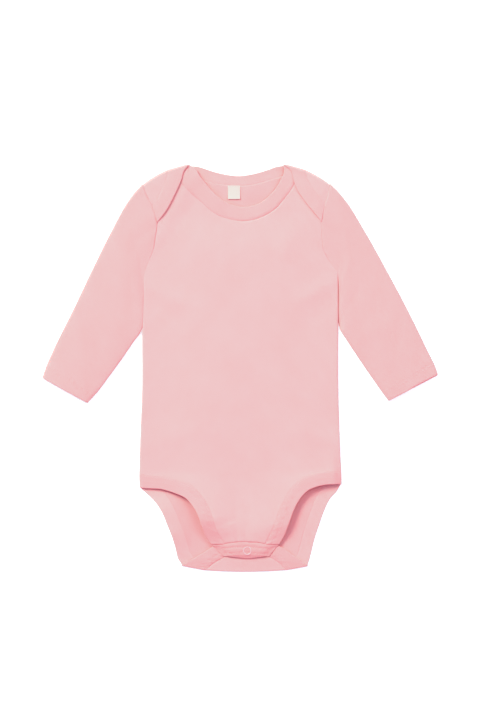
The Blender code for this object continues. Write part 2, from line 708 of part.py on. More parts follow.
def sleeve_rows(side):
    """Rings from the armhole to the cuff: up the inner fold, out on top, and back underneath."""
    places = sleeve_places()
    inner = smooth(on_side(SLEEVE_INNER, side), places)
    outer = smooth(on_side(SLEEVE_OUTER, side), places)
    across_places = even_places(ARMHOLE_STEPS)
    armhole = on_side(ARMHOLE, side)
    armhole[0] = inner[0]
    armhole[-1] = outer[0]
    armhole = smooth(armhole, across_places)
    armhole[:, 0] -= side * ARMHOLE_CLEAR * np.sin(np.pi * across_places) ** ARMHOLE_CLEAR_POWER
    straight = inner[0] + across_places[:, None] * (outer[0] - inner[0])
    scoop = armhole - straight

    def plan(v, c, start, end):
        """A point of the flat sleeve: v along it and c across it. Only its end is scooped."""
        line = start + c[:, None] * (end - start)
        if v == 0.0:
            line += np.array([np.interp(c, across_places, scoop[:, k]) for k in (0, 1)]).T
        return line

    flat = even_places(SLEEVE_ACROSS)
    bend = np.pi * np.arange(1, FOLD_STEPS) / FOLD_STEPS
    rows = []
    hem = places[-3]
    for v, start, end in zip(places, inner, outer):
        thickness = BAND if v >= hem else WALL
        width = np.linalg.norm(end - start)
        near = 1 - ease(v, 0.0, SLEEVE_HEAD)
        high = on_armhole_height(flat, armhole, across_places) * near
        inner_radius = (FRONT_LEVEL + high[0]) / 2
        outer_radius = (FRONT_LEVEL + high[-1]) / 2
        first = (thickness / 2 + inner_radius) / width
        last = (thickness / 2 + outer_radius) / width
        c_flat = first + flat * (1 - first - last)
        top = np.column_stack([plan(v, c_flat, start, end), FRONT_LEVEL + high + thickness / 2])
        bottom = np.column_stack([plan(v, c_flat, start, end), np.full(len(flat), thickness / 2)])
        c_outer = 1 - last + np.sin(bend) * outer_radius / width
        c_inner = first - np.sin(bend) * inner_radius / width
        outer_z = thickness / 2 + outer_radius * (1 + np.cos(bend))
        inner_z = thickness / 2 + inner_radius * (1 - np.cos(bend))
        outer_fold = np.column_stack([plan(v, c_outer, start, end), outer_z])
        inner_fold = np.column_stack([plan(v, c_inner, start, end), inner_z])
        rows.append(np.concatenate([top, outer_fold, bottom[::-1], inner_fold, top[:1]]))
    return rows


def on_armhole_height(flat, armhole, across_places):
    """How much higher than over the body the sleeve's top starts, to meet the front and the lap."""
    height = np.interp(flat, across_places, armhole[:, 1])
    to_front = (SHOULDER_FRONT_LEVEL - FRONT_LEVEL) * ease(height, YOKE_RISE_FROM, YOKE_RISE_FULL)
    lap_layer = ease(height, LAP_LAYER_FROM, LAP_LAYER_FULL)
    return to_front + (SHOULDER_LAP_LEVEL - SHOULDER_FRONT_LEVEL) * lap_layer


# Materials and objects


def material(name, colour, roughness, sheen=0.0):
    made = bpy.data.materials.new(name)
    made.use_nodes = True
    shader = made.node_tree.nodes["Principled BSDF"]
    shader.inputs["Base Color"].default_value = (*colour, 1.0)
    shader.inputs["Roughness"].default_value = roughness
    shader.inputs["Sheen Weight"].default_value = sheen
    made.diffuse_color = (*colour, 1.0)
    return made


def collect(thing, collection, finish):
    """Puts an object in the garment's collection with its finish."""
    for owner in list(thing.users_collection):
        owner.objects.unlink(thing)
    collection.objects.link(thing)
    thing.data.materials.clear()
    thing.data.materials.append(finish)


def cloth(name, rows, collection, finish, left_out=None, thickness=WALL, hem_from=None):
    """A wall of cloth through rows of points that run along its middle.

    Rows from hem_from on are BAND thick. A row whose ends coincide closes into a tube.
    """
    rows = np.array(rows) * MM
    row_count, column_count = len(rows) - 1, len(rows[0]) - 1
    mesh = bpy.data.meshes.new(name)
    shape = bmesh.new()
    bmesh.ops.create_grid(shape, x_segments=column_count, y_segments=row_count, size=0.5)
    weights = shape.verts.layers.deform.verify()
    place = {}
    for vertex in shape.verts:
        column = round((vertex.co.x + 0.5) * column_count)
        row = round((vertex.co.y + 0.5) * row_count)
        place[vertex] = (row, column)
    if left_out:
        gone = []
        for face in shape.faces:
            corners = [place[vertex] for vertex in face.verts]
            if left_out(min(row for row, _ in corners), min(column for _, column in corners)):
                gone.append(face)
        bmesh.ops.delete(shape, geom=gone, context="FACES")
    for vertex in shape.verts:
        row, column = place[vertex]
        vertex.co = rows[row, column]
        in_hem = hem_from is not None and row >= hem_from
        vertex[weights][0] = 1.0 if in_hem or hem_from is None else WALL / BAND
    bmesh.ops.remove_doubles(shape, verts=shape.verts, dist=SAME_PLACE * MM)
    for face in shape.faces:
        face.smooth = True
    shape.to_mesh(mesh)
    shape.free()
    sheet = bpy.data.objects.new(name, mesh)
    collect(sheet, collection, finish)
    wall = sheet.modifiers.new("wall", "SOLIDIFY")
    wall.thickness = (BAND if hem_from is not None else thickness) * MM
    wall.offset = 0.0
    if hem_from is not None:
        sheet.vertex_groups.new(name="hem")
        wall.vertex_group = "hem"
    return sheet


def snap_ring(collection, finish):
    """The ring of the snap that shows on the front placket."""
    top = CROTCH_FRONT_LEVEL + BAND + SEAM
    bpy.ops.mesh.primitive_torus_add(
        major_segments=SNAP_SIDES,
        minor_segments=SNAP_WIRE_SIDES,
        major_radius=SNAP_RING_RADIUS * MM,
        minor_radius=SNAP_RING_WIRE * MM,
        location=(SNAP_X * MM, SNAP_Y * MM, (top + SNAP_RING_WIRE) * MM),
    )
    ring = bpy.context.object
    ring.name = "snap_ring"
    ring.data.name = ring.name
    ring.data.shade_smooth()
    collect(ring, collection, finish)


def snap_pair(collection, finish):
    """The stud and socket, closed together between the two plackets."""
    bottom = CROTCH_FLAP_LEVEL + BAND + SEAM
    bpy.ops.mesh.primitive_cylinder_add(
        vertices=SNAP_SIDES,
        radius=SNAP_PAIR_RADIUS * MM,
        depth=SNAP_PAIR_HEIGHT * MM,
        location=(SNAP_X * MM, SNAP_Y * MM, (bottom + SNAP_PAIR_HEIGHT / 2) * MM),
    )
    pair = bpy.context.object
    pair.name = "snap_stud_and_socket"
    pair.data.name = pair.name
    collect(pair, collection, finish)


def label(collection, finish):
    """A blank label that lies on the inside of the back, under the neck band."""
    middle = ((LABEL_LEFT + LABEL_RIGHT) / 2, (LABEL_BOTTOM + LABEL_TOP) / 2)
    height = WALL + SEAM + LABEL_THICKNESS / 2
    size = (LABEL_RIGHT - LABEL_LEFT, LABEL_TOP - LABEL_BOTTOM, LABEL_THICKNESS)
    bpy.ops.mesh.primitive_cube_add(size=MM, location=(middle[0] * MM, middle[1] * MM, height * MM))
    plate = bpy.context.object
    plate.name = "label"
    plate.data.name = plate.name
    plate.scale = size
    bpy.ops.object.transform_apply(location=False, rotation=False, scale=True)
    collect(plate, collection, finish)


def main():
    for thing in list(bpy.data.objects):
        bpy.data.objects.remove(thing)
    garment = bpy.data.collections.new(GARMENT)
    bpy.context.scene.collection.children.link(garment)

    jersey = material("pink_jersey", JERSEY, CLOTH_ROUGHNESS, CLOTH_SHEEN)
    binding = material("pink_binding", BINDING, CLOTH_ROUGHNESS, CLOTH_SHEEN)
    plastic = material("snap_plastic", SNAP_PINK, SNAP_ROUGHNESS)
    tape = material("label_tape", LABEL_WHITE, CLOTH_ROUGHNESS)

    rows = back_rows()
    cloth("back_panel", rows, garment, jersey, left_out=beyond_neck(rows))
    rows = front_rows()
    cloth("front_panel", rows, garment, jersey, left_out=beyond_neck(rows))
    for side, word in ((LEFT, "left"), (RIGHT, "right")):
        rows = sleeve_rows(side)
        cloth("sleeve_" + word, rows, garment, jersey, hem_from=len(rows) - 3)
        cloth("leg_band_front_" + word, front_leg_rows(side), garment, binding, thickness=BAND)
        cloth("leg_band_back_" + word, back_leg_rows(side), garment, binding, thickness=BAND)
    cloth("neck_band_back", back_neck_rows(), garment, binding, thickness=BAND)
    cloth("neck_band_front", front_neck_rows(), garment, binding, thickness=BAND)
    cloth("placket_front", front_placket_rows(), garment, binding, thickness=BAND)
    cloth("placket_back", back_placket_rows(), garment, binding, thickness=BAND)
    snap_ring(garment, plastic)
    snap_pair(garment, plastic)
    label(garment, tape)


main()
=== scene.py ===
import bpy
import numpy as np
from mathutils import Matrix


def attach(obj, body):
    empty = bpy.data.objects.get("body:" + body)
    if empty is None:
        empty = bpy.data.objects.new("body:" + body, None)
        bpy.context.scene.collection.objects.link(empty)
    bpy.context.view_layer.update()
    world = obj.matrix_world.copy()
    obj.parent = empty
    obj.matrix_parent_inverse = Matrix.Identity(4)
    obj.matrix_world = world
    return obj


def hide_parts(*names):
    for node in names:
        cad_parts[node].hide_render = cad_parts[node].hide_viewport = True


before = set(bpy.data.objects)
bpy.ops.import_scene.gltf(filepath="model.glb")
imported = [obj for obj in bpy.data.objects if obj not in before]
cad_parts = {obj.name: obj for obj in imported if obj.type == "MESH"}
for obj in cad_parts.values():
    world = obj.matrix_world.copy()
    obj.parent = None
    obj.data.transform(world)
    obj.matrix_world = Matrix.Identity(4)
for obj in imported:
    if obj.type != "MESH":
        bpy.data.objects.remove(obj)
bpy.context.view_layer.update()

mm = 0.001
left, right = 1.0, -1.0  # sign that turns "towards the middle" into +x or -x

# The cut, laid flat, in mm. A row holds a point of the left side and its partner on the right.
cut = {
    "bodySide": [  # left x, left y, right x, right y
        (-106.0, -112.5, 106.4, -109.5),
        (-105.0, -77.0, 105.0, -77.0),
        (-103.0, -24.0, 103.5, -24.0),
        (-102.8, 42.0, 103.4, 42.0),
        (-102.2, 72.0, 103.4, 72.0),
        (-101.9, 100.0, 103.4, 100.0),
    ],
    "hip": [(-105.4, -126.8, 106.6, -123.2)],
    "armhole": [
        (-101.9, 100.0, 103.4, 100.0),
        (-96.4, 110.3, 95.2, 109.4),
        (-91.2, 122.0, 88.4, 121.0),
        (-88.2, 138.0, 85.9, 137.0),
        (-86.6, 152.0, 85.2, 152.5),
        (-88.6, 162.0, 86.4, 162.0),
        (-92.4, 170.4, 88.6, 170.4),
        (-97.6, 179.4, 91.2, 179.4),
        (-101.1, 188.9, 93.4, 189.1),
    ],
    "shoulderPeak": [(-54.1, 211.4, 46.8, 211.6)],
    "lapEdge": [
        (-54.1, 211.4, 46.8, 211.6),
        (-58.8, 205.6, 53.6, 205.6),
        (-61.2, 197.2, 56.0, 196.0),
        (-65.0, 188.0, 60.0, 186.0),
        (-69.8, 177.9, 66.4, 176.0),
        (-76.6, 165.2, 74.8, 165.2),
        (-85.3, 153.8, 84.0, 154.2),
        (-87.0, 151.9, 85.6, 152.3),
    ],
    "lapSeam": [
        (-78.3, 193.9, 72.8, 192.6),
        (-82.7, 184.4, 78.2, 184.0),
        (-88.0, 174.6, 84.4, 175.2),
    ],
    "frontLeg": [
        (-94.5, -127.5, 98.7, -122.9),
        (-84.0, -128.0, 88.8, -123.6),
        (-75.6, -129.9, 80.0, -125.6),
        (-66.5, -133.0, 71.3, -129.4),
        (-57.0, -137.4, 64.2, -136.2),
        (-50.8, -144.0, 58.6, -145.0),
        (-45.4, -152.4, 54.2, -155.6),
        (-40.9, -163.5, 50.2, -166.8),
        (-36.8, -175.8, 45.8, -177.8),
        (-30.6, -185.8, 41.2, -185.8),
    ],
    "backLeg": [
        (-100.4, -131.0, 101.4, -131.0),
        (-94.0, -136.6, 95.2, -137.6),
        (-87.0, -144.4, 90.3, -146.4),
        (-81.4, -153.4, 86.2, -156.8),
        (-76.6, -165.2, 82.2, -168.6),
        (-71.6, -177.8, 78.6, -179.4),
        (-67.8, -190.4, 75.6, -191.4),
        (-64.9, -201.6, 72.9, -202.2),
    ],
    "flapEdge": [
        (-49.6, -201.6, 59.6, -200.4),
        (-38.4, -194.8, 49.0, -193.0),
        (-27.8, -188.0, 40.3, -187.3),
    ],
    "flapSeam": [
        (-30.6, -207.8, 42.9, -207.0),
        (-23.6, -203.0, 37.6, -202.6),
        (-17.0, -199.3, 31.6, -199.2),
    ],
    "crotchCorner": [(-61.2, -207.6, 71.0, -208.0)],
    "placketBottom": [(-17.5, -198.7, 30.4, -198.6)],
    "sleeveOuter": [
        (-102.7, 192.2, 95.0, 192.4),
        (-108.6, 185.9, 102.0, 185.4),
        (-116.6, 175.4, 110.3, 175.4),
        (-134.4, 143.9, 130.2, 143.9),
        (-155.4, 101.9, 153.8, 101.9),
        (-175.4, 59.9, 176.1, 59.9),
        (-196.2, 17.9, 196.7, 17.9),
        (-204.6, -1.6, 205.6, -0.6),
        (-207.6, -10.6, 207.9, -7.6),
    ],
    "sleeveInner": [
        (-101.1, 99.6, 103.3, 99.6),
        (-101.3, 72.0, 103.2, 72.0),
        (-101.9, 47.0, 103.3, 48.0),
        (-103.4, 38.8, 105.6, 38.2),
        (-112.4, 25.3, 111.6, 28.6),
        (-123.3, 9.2, 128.0, 3.7),
        (-136.1, -8.4, 142.7, -17.6),
        (-149.7, -26.6, 149.8, -27.6),
        (-159.6, -37.3, 155.4, -35.0),
    ],
}
neckCut = {
    "back": [  # edge x, edge y, seam x, seam y
        (-43.5, 210.4, -52.0, 200.4),
        (-34.7, 207.6, -38.5, 195.9),
        (-26.3, 204.9, -28.0, 193.6),
        (-9.0, 201.4, -10.5, 191.0),
        (-1.0, 200.8, -1.5, 190.5),
        (8.0, 201.8, 7.6, 191.0),
        (20.0, 204.4, 20.0, 193.2),
        (31.0, 207.9, 33.5, 197.4),
        (38.0, 210.4, 46.5, 201.4),
    ],
    "front": [
        (-46.6, 208.3, -63.0, 195.6),
        (-43.0, 201.8, -58.3, 189.9),
        (-36.5, 193.3, -50.0, 182.0),
        (-28.5, 184.0, -40.0, 173.2),
        (-17.6, 174.6, -26.5, 161.9),
        (-5.0, 169.1, -8.0, 155.2),
        (6.0, 168.2, 7.0, 153.9),
        (17.0, 170.6, 22.0, 158.0),
        (28.0, 177.5, 36.0, 166.2),
        (36.5, 186.3, 46.2, 177.3),
        (42.8, 196.5, 53.6, 187.6),
        (46.6, 206.0, 59.0, 197.0),
    ],
}
neckOnFold = {  # where the neck edge and band seam cross the shoulder fold, as shares of it
    "back": {"edge": 0.0, "seam": 0.43},
    "front": {"edge": -0.03, "seam": 0.27},
}
shape = {
    "legBandWidth": 13.2,
    "legBandEnd": 14.5,  # where it is cut level by the placket
    "cornerLift": 1.5,  # its seam rises this much beside the crotch corner
    "shoulderCrown": 2.5,
    "shoulderReach": (26.0, 7.0),  # from a lap's edge: where the climb starts and where it is whole
    "lapSeamEnd": 6,  # row of the armhole where the lap's band seam runs out
    "lapEndShare": 0.985,  # share of its way to the armhole where a lap's cloth ends
    "lapTipClear": -0.2,  # how far inside the armhole its seam stops
    "lapSink": {left: 0.0, right: 0.6},  # how far a lap is pressed flat on the front
    "lapRelief": 1.0,  # its seams show from this far below its level
    "foldTaper": 0.4,  # depth of the fold at the neck edge, as a share of a round one's
    "armholeDrop": 1.0,  # the laps are pressed flat by this much where they meet the armhole
    "armholeReach": 7.0,
    "tipThinning": 0.4,  # share of its thickness that the back's neck band loses there
    "crotchLowest": (5.0, -215.8),
    "crotchRise": (3.1, 59.0),  # the fold line climbs this much that far from its middle
    "crotchSeamX": {left: -35.4, right: 47.6},
    "placketTopRise": 2.2,
    "placketTopPoints": 30,
    "placketSag": 2.3,  # below the snap
    "placketSagWidth": 13.0,
    "creaseHeight": (1.8, 2.9),  # creases fade out between these heights, at the rolled sides
}

# How strongly each seam shows: rows of share along it and strength.
unseen = [(0.0, 0.0), (1.0, 0.0)]
seamShow = {
    "frontNeck": [(0.0, 0.0), (0.3, 0.1), (0.45, 0.3), (0.52, 0.8), (1.0, 1.0)],
    "backNeck": unseen,
    "lap": {left: unseen, right: [(0.0, 0.0), (0.6, 0.1), (1.0, 0.5)]},
    "frontLeg": {
        left: [(0.0, 0.0), (0.3, 0.1), (0.5, 0.8), (1.0, 0.9)],
        right: [(0.0, 0.0), (0.3, 0.0), (0.55, 0.7), (1.0, 1.0)],
    },
    "backLeg": unseen,
    "flap": {left: [(0.0, 1.0), (1.0, 1.0)], right: [(0.0, 0.4), (1.0, 0.6)]},
    "armhole": {
        left: [(0.0, 0.0), (0.2, 0.05), (0.38, 0.8), (0.66, 0.8), (0.74, 0.4), (0.82, 0.0), (1.0, 0.0)],
        right: [(0.0, 0.0), (0.35, 0.1), (0.5, 0.4), (0.75, 0.4), (0.85, 0.05), (1.0, 0.0)],
    },
    "placket": [(0.0, 1.0), (1.0, 1.0)],
}

# Heights of the underside of each layer, and the walls whose middles the cloth follows.
level = {
    "front": 2.4,
    "shoulderFlap": 1.9,
    "shoulderFront": 3.8,
    "shoulderLap": 5.7,
    "crotchFlap": 1.9,
    "crotchFront": 5.1,
}
placketDip = {
    "beside": 1.4,  # how far the front sinks beside the snap, from none at from to the whole at full
    "from": 12.0,
    "full": 33.0,
    "below": 1.8,  # how far it sinks below the snap
    "ends": 1.15,  # how far the placket's ends sink on the flap
    "endReach": 11.0,
    "flapFall": 0.8,
}
wall = {"jersey": 1.2, "band": 1.6}
cloth = {"jersey": 0.9, "band": 1.2, "bandMiddle": 0.69, "seamLap": 0.6, "floorGap": 0.02}

snap = {
    "at": (7.7, -192.7),
    "ring": 3.9,
    "wire": 0.6,
    "flat": 0.6,  # height of the ring's wire, as a share of its width
    "bottom": 6.3,
    "prongs": 5,
    "notch": (0.12, 8),  # depth of the notch at each prong, and how narrow it is
    "pair": (4.6, 3.8, 4.8),  # radius, bottom and top of the closed halves
}

# Where along y each change of height starts, and where it is whole.
ramp = {
    "shoulder": (108.0, 146.0),
    "lap": (146.0, 166.0),
    "chestTop": (165.0, 120.0),
    "chestFoot": (-150.0, -60.0),
    "toPlacket": (-104.0, -186.0),
    "besideSnap": (-146.0, -182.0),
    "belowSnap": (-195.5, -201.0),
    "placketEnds": (-184.5, -190.0),
    "backCreases": (-213.0, -197.0),
    "flapSeam": (-212.0, -208.0),
    "flap": (-199.0, -214.0),
    "tuckFoot": (34.0, 44.0),
    "tuckTop": (104.0, 90.0),
}

# How far the front, the sleeves and the openings stand off what they lie on, added to its level.
loft = {
    "tuck": {left: 0.0, right: 2.7},  # how far a sleeve sinks beside the body
    "tuckReach": 6.0,
    "chest": 1.6,
    "chestEdge": 103.0,  # half width that the next two are measured in from
    "chestFrom": 8.0,
    "chestFull": 70.0,
    "legOpening": {left: 3.9, right: 4.1},
    "legEnd": -186.5,  # y where a leg opening's rise ends, and where it starts to fall
    "legFall": {left: -154.0, right: -162.0},
    "legRise": {left: 1.7, right: 0.12},  # a lower power rises sooner from the hip
    "legReach": 26.0,
    "neck": 1.8,
    "neckReach": 13.0,
    "neckStart": (0.0, 0.16),  # shares of the neck edge where it begins and where it ends
    "neckEnd": (0.5, 0.3),
    "sideFrom": 106.5,
    "sideFull": 97.0,
    "sleeve": 1.5,
    "cuff": 0.5,
}

# Soft ridges (height above 0) and troughs (below 0): x, y, x, y, half width, height, in mm.
frontCreases = [
    (-99, 88, -52, 62, 8, 0.55),
    (-97, 70, -60, 40, 9, -0.45),
    (100, 92, 58, 66, 8, 0.6),
    (99, 74, 66, 40, 9, -0.5),
    (-60, 150, -30, 118, 10, 0.45),
    (62, 150, 40, 112, 10, 0.5),
    (-98, -84, -40, -64, 12, 0.6),
    (-92, -108, -44, -112, 7, -0.4),
    (100, -80, 52, -66, 12, 0.6),
    (92, -104, 56, -112, 7, -0.4),
    (-20, -178, -26, -128, 6, 0.4),
    (-4, -180, -6, -136, 6, -0.35),
    (18, -180, 20, -124, 7, 0.4),
    (34, -178, 40, -140, 5, -0.35),
    (-30, 40, -12, -60, 22, 0.5),
    (36, 30, 24, -70, 24, -0.45),
    (0, 150, 4, 60, 26, 0.4),
    (-70, 20, -74, -50, 15, -0.35),
    (80, 10, 82, -50, 14, 0.35),
]
backCreases = [
    (-88, -140, -60, -180, 7, 0.4),
    (-72, -136, -46, -168, 6, 0.3),
    (92, -138, 64, -186, 7, 0.35),
    (74, -140, 62, -172, 6, 0.3),
    (-30, 186, 24, 184, 9, 0.3),
    (-84, -140, -66, -186, 16, 3.6),
]
sleeveCreases = {  # around (0 inner fold, 1 outer fold), along, around, along, half width in mm, height
    left: [
        (0.05, 0.12, 0.75, 0.3, 7, 0.3),
        (0.1, 0.3, 0.55, 0.42, 8, -0.27),
        (0.15, 0.5, 0.8, 0.58, 9, 0.27),
        (0.9, 0.45, 0.45, 0.72, 8, -0.24),
        (0.1, 0.78, 0.7, 0.86, 7, 0.21),
    ],
    right: [
        (0.06, 0.16, 0.7, 0.26, 7, 0.27),
        (0.12, 0.36, 0.7, 0.4, 8, -0.3),
        (0.1, 0.56, 0.75, 0.66, 9, 0.27),
        (0.85, 0.4, 0.5, 0.6, 8, -0.21),
        (0.2, 0.84, 0.8, 0.8, 7, 0.18),
    ],
}


def curveThrough(points, places):
    # a smooth curve at these shares of its length: with f from 0 to 1 between two given points p and q,
    # (1+2f)(1-f)^2 p + f^2(3-2f) q + h f(1-f)^2 slopeP - h f^2(1-f) slopeQ, h being their distance
    points = np.asarray(points, float)
    steps = np.linalg.norm(np.diff(points, axis=0), axis=1)
    knots = np.concatenate(([0.0], np.cumsum(steps)))
    slopes = np.gradient(points, knots, axis=0)
    wanted = np.asarray(places, float) * knots[-1]
    piece = np.clip(np.searchsorted(knots, wanted, side="right") - 1, 0, len(steps) - 1)
    h = steps[piece][:, None]
    f = ((wanted - knots[piece]) / steps[piece])[:, None]
    curve = (1 + 2 * f) * (1 - f) ** 2 * points[piece] + f * f * (3 - 2 * f) * points[piece + 1]
    return curve + h * (f * (1 - f) ** 2 * slopes[piece] + f * f * (f - 1) * slopes[piece + 1])


def evenly(points, count):
    # the smooth curve at count evenly spaced shares of its length
    return curveThrough(points, np.linspace(0.0, 1.0, count))


def lengthAlong(points):
    # running length of a line of points, starting from 0
    steps = np.linalg.norm(np.diff(points, axis=0), axis=-1)
    return np.concatenate([np.zeros_like(steps[:1]), np.cumsum(steps, axis=0)])


def ease(value, start, end):
    # 3t^2 - 2t^3 with t running from 0 at start to 1 at end
    t = np.clip((np.asarray(value, float) - start) / (end - start), 0.0, 1.0)
    return t * t * (3 - 2 * t)


def sideOf(name, side):
    # the points of one side of a table of the cut
    rows = np.array(cut[name])
    return rows[:, :2] if side == left else rows[:, 2:]


def unit(vectors):
    # vectors divided by their lengths
    return vectors / np.maximum(np.linalg.norm(vectors, axis=-1, keepdims=True), 1e-9)


def nearCurve(plan, curve):
    # for each point of the plan: its distance from the curve, how far along it that is, and the share
    step, block = 0.5, 4096  # mm between the places tried, and points worked out at a time
    fine = evenly(curve, int(lengthAlong(curve)[-1] / step) + 2)
    along, run = lengthAlong(fine), unit(np.gradient(fine, axis=0))
    flat = plan.reshape(-1, 2)
    distance, place = np.empty(len(flat)), np.empty(len(flat))
    for start in range(0, len(flat), block):
        rows = slice(start, start + block)
        square = ((flat[rows, None] - fine) ** 2).sum(-1)
        nearest = square.argmin(1)
        past = ((flat[rows] - fine[nearest]) * run[nearest]).sum(-1).clip(-step / 2, step / 2)
        distance[rows] = np.sqrt(np.maximum(square[np.arange(len(nearest)), nearest] - past**2, 0.0))
        place[rows] = np.clip(along[nearest] + past, 0.0, along[-1])
    distance, place = distance.reshape(plan.shape[:-1]), place.reshape(plan.shape[:-1])
    return distance, place, place / along[-1]


def showing(table, share):
    # how strongly a seam shows at this share of its length
    at, strength = np.array(table).T
    return np.interp(share, at, strength)


def inset(edge, width, side):
    # the edge moved this far inwards, square to its own run
    run = unit(np.gradient(edge, axis=0))
    return edge + side * width * np.stack([-run[:, 1], run[:, 0]], axis=1)


def normals(grid, wraps=False):
    # across x along at each point: the grid's own way out
    if wraps:
        wide = np.concatenate([grid[:, -1:], grid, grid[:, :1]], axis=1)
        across = (wide[:, 2:] - wide[:, :-2]) / 2
    else:
        across = np.gradient(grid, axis=1)
    return unit(np.cross(across, np.gradient(grid, axis=0)))


def withHeight(plan, height):
    # points x, y with their heights as z
    return np.concatenate([plan, height[..., None]], axis=-1)


def halfCircle(low, high, steps):
    # how far out and how high the points between low and high lie: r sin(angle) and middle - r cos(angle)
    angle = np.pi * np.arange(1, steps)[:, None] / steps
    radius = (high - low) / 2
    return np.abs(radius) * np.sin(angle), (low + high) / 2 - radius * np.cos(angle)


def ripple(along, wave, seed, wander=1.4, slower=3.3):
    # a sine whose own phase wanders slowly, so that no two waves are alike
    phase = wander * np.sin(2 * np.pi * along / (slower * wave) + seed)
    return np.sin(2 * np.pi * along / wave + phase + seed)


def creased(plan, table, fade=0.3):
    # sum of rise * exp(-(d/width)^2), d from each line and t along it, easing in and out over its ends
    height = np.zeros(plan.shape[:-1])
    for x0, y0, x1, y1, width, rise in table:
        start, run = np.array((x0, y0)), np.array((x1 - x0, y1 - y0))
        t = np.clip(((plan - start) @ run) / (run @ run), -fade, 1 + fade)
        d = np.linalg.norm(plan - start - t[..., None] * run, axis=-1)
        height += rise * np.exp(-((d / width) ** 2)) * ease(t, -fade, fade) * ease(t, 1 + fade, 1 - fade)
    return height


def foldNormal(side):
    # the way a shoulder fold faces: square to it, away from the chest
    run = unit(sideOf("armhole", side)[-1] - sideOf("shoulderPeak", side)[0])
    return side * np.array([run[1], -run[0]])


def foldLine(side, shares):
    # from the peak (0) to the armhole (1), bowed out by 4 crown s (1-s)
    peak, end = sideOf("shoulderPeak", side)[0], sideOf("armhole", side)[-1]
    s = np.asarray(shares, float)[:, None]
    return peak + s * (end - peak) + 4 * shape["shoulderCrown"] * s * (1 - s) * foldNormal(side)


def neckCurve(which, kind):
    # edge or seam of a neck band, from one shoulder fold to the other
    start, end = (foldLine(side, [neckOnFold[which][kind]]) for side in (left, right))
    rows = np.array(neckCut[which])
    return np.concatenate([start, rows[:, :2] if kind == "edge" else rows[:, 2:], end])


def lapCurves(which, side):
    # edge and seam of the band on a shoulder lap, from the fold to the armhole
    edge = sideOf("lapEdge", side)
    edge[0] = foldLine(side, [neckOnFold[which]["edge"]])[0]
    start = foldLine(side, [neckOnFold[which]["seam"]])
    end = sideOf("armhole", side)[shape["lapSeamEnd"]] + (side * shape["lapTipClear"], 0.0)
    return edge, np.concatenate([start, sideOf("lapSeam", side), [end]])


def crotchFold(x):
    # the fold's axis: lowest y + rise (dx/span)^2, moved in by the fold's radius
    lowX, lowY = shape["crotchLowest"]
    rise, span = shape["crotchRise"]
    y = lowY + rise * ((x - lowX) / span) ** 2 + level["crotchFlap"] / 2 + wall["band"] / 2
    return np.column_stack([x, y])


def frontLegCurves(side):
    # edge and seam of a front leg band, from the hip to the placket
    edge = np.concatenate([sideOf("hip", side), sideOf("frontLeg", side)])
    seam = inset(edge, shape["legBandWidth"], side)
    seam[0] = sideOf("bodySide", side)[0]
    seam[-1] = edge[-1] + (side * shape["legBandEnd"], 0.0)
    return edge, seam


def backLegCurves(side):
    # edge and seam of a back leg band, from the hip to the crotch fold
    edge = np.concatenate([sideOf("hip", side), sideOf("backLeg", side), sideOf("crotchCorner", side)])
    seam = inset(edge, shape["legBandWidth"], side)
    seam[0] = sideOf("bodySide", side)[0]
    seam[-2] += (0.0, shape["cornerLift"])
    seam[-1] = crotchFold(np.array([shape["crotchSeamX"][side]]))[0]
    return edge, seam


def flapCurves(side):
    # edge and seam of the same band on the flap, from the fold to its end
    edge = np.concatenate([sideOf("crotchCorner", side), sideOf("flapEdge", side)])
    start = crotchFold(np.array([shape["crotchSeamX"][side]]))
    return edge, np.concatenate([start, sideOf("flapSeam", side)])


def bowed(line, rise):
    # a level line bent up by 4 rise t (1-t)
    t = (line[:, 0] - line[0, 0]) / (line[-1, 0] - line[0, 0])
    return line + np.column_stack([np.zeros(len(line)), 4 * rise * t * (1 - t)])


def shoulderLift(plan):
    # 1 in a shoulder's stack of layers, easing to 0 towards the neck and down the chest
    lift = np.zeros(plan.shape[:-1])
    for side in (left, right):
        peak, tip = sideOf("lapEdge", side)[[0, -1]]
        run = unit(tip - peak)
        distance = (plan - peak) @ (side * np.array([-run[1], run[0]]))
        lift = np.maximum(lift, ease(distance, *shape["shoulderReach"]))
    return lift * ease(plan[..., 1], *ramp["shoulder"])


def backLevel(plan):
    # the back's creases, fading out at the crotch fold
    return np.maximum(creased(plan, backCreases), 0.0) * ease(plan[..., 1], *ramp["backCreases"])


def lapLevel(plan, which, side):
    # underside of a shoulder lap: level inside the front, or on it, pressed down and lowest at the armhole
    if which == "front":
        return np.full(plan.shape[:-1], level["shoulderFlap"])
    drop = shape["armholeDrop"] - shape["lapSink"][side]
    return level["shoulderLap"] - shape["lapSink"][side] - drop * fromArmhole(plan, side)


def fromArmhole(plan, side):
    # 0 away from the armhole, easing to 1 at it
    return ease(nearCurve(plan, sideOf("armhole", side))[0], shape["armholeReach"], 0.0)


def legLoft(plan):
    # root of the sum of both legs' squares, each height * exp(-(d/reach)^2) * (2t)^rise with t from hip to
    # placket along the leg's edge, easing out towards the placket and the sides
    total = np.zeros(plan.shape[:-1])
    for side in (left, right):
        distance, _, t = nearCurve(plan, frontLegCurves(side)[0])
        swell = np.exp(-((distance / loft["legReach"]) ** 2)) * (2 * t) ** loft["legRise"][side]
        swell = swell * ease(plan[..., 1], loft["legEnd"], loft["legFall"][side])
        total = total + (loft["legOpening"][side] * swell) ** 2
    return np.sqrt(total) * ease(np.abs(plan[..., 0]), loft["sideFrom"], loft["sideFull"])


def neckLoft(plan):
    # how far the left half of the front's neck edge stands off
    distance, _, share = nearCurve(plan, neckCurve("front", "edge"))
    rise = loft["neck"] * np.exp(-((distance / loft["neckReach"]) ** 2))
    return rise * ease(share, *loft["neckStart"]) * ease(share, *loft["neckEnd"])


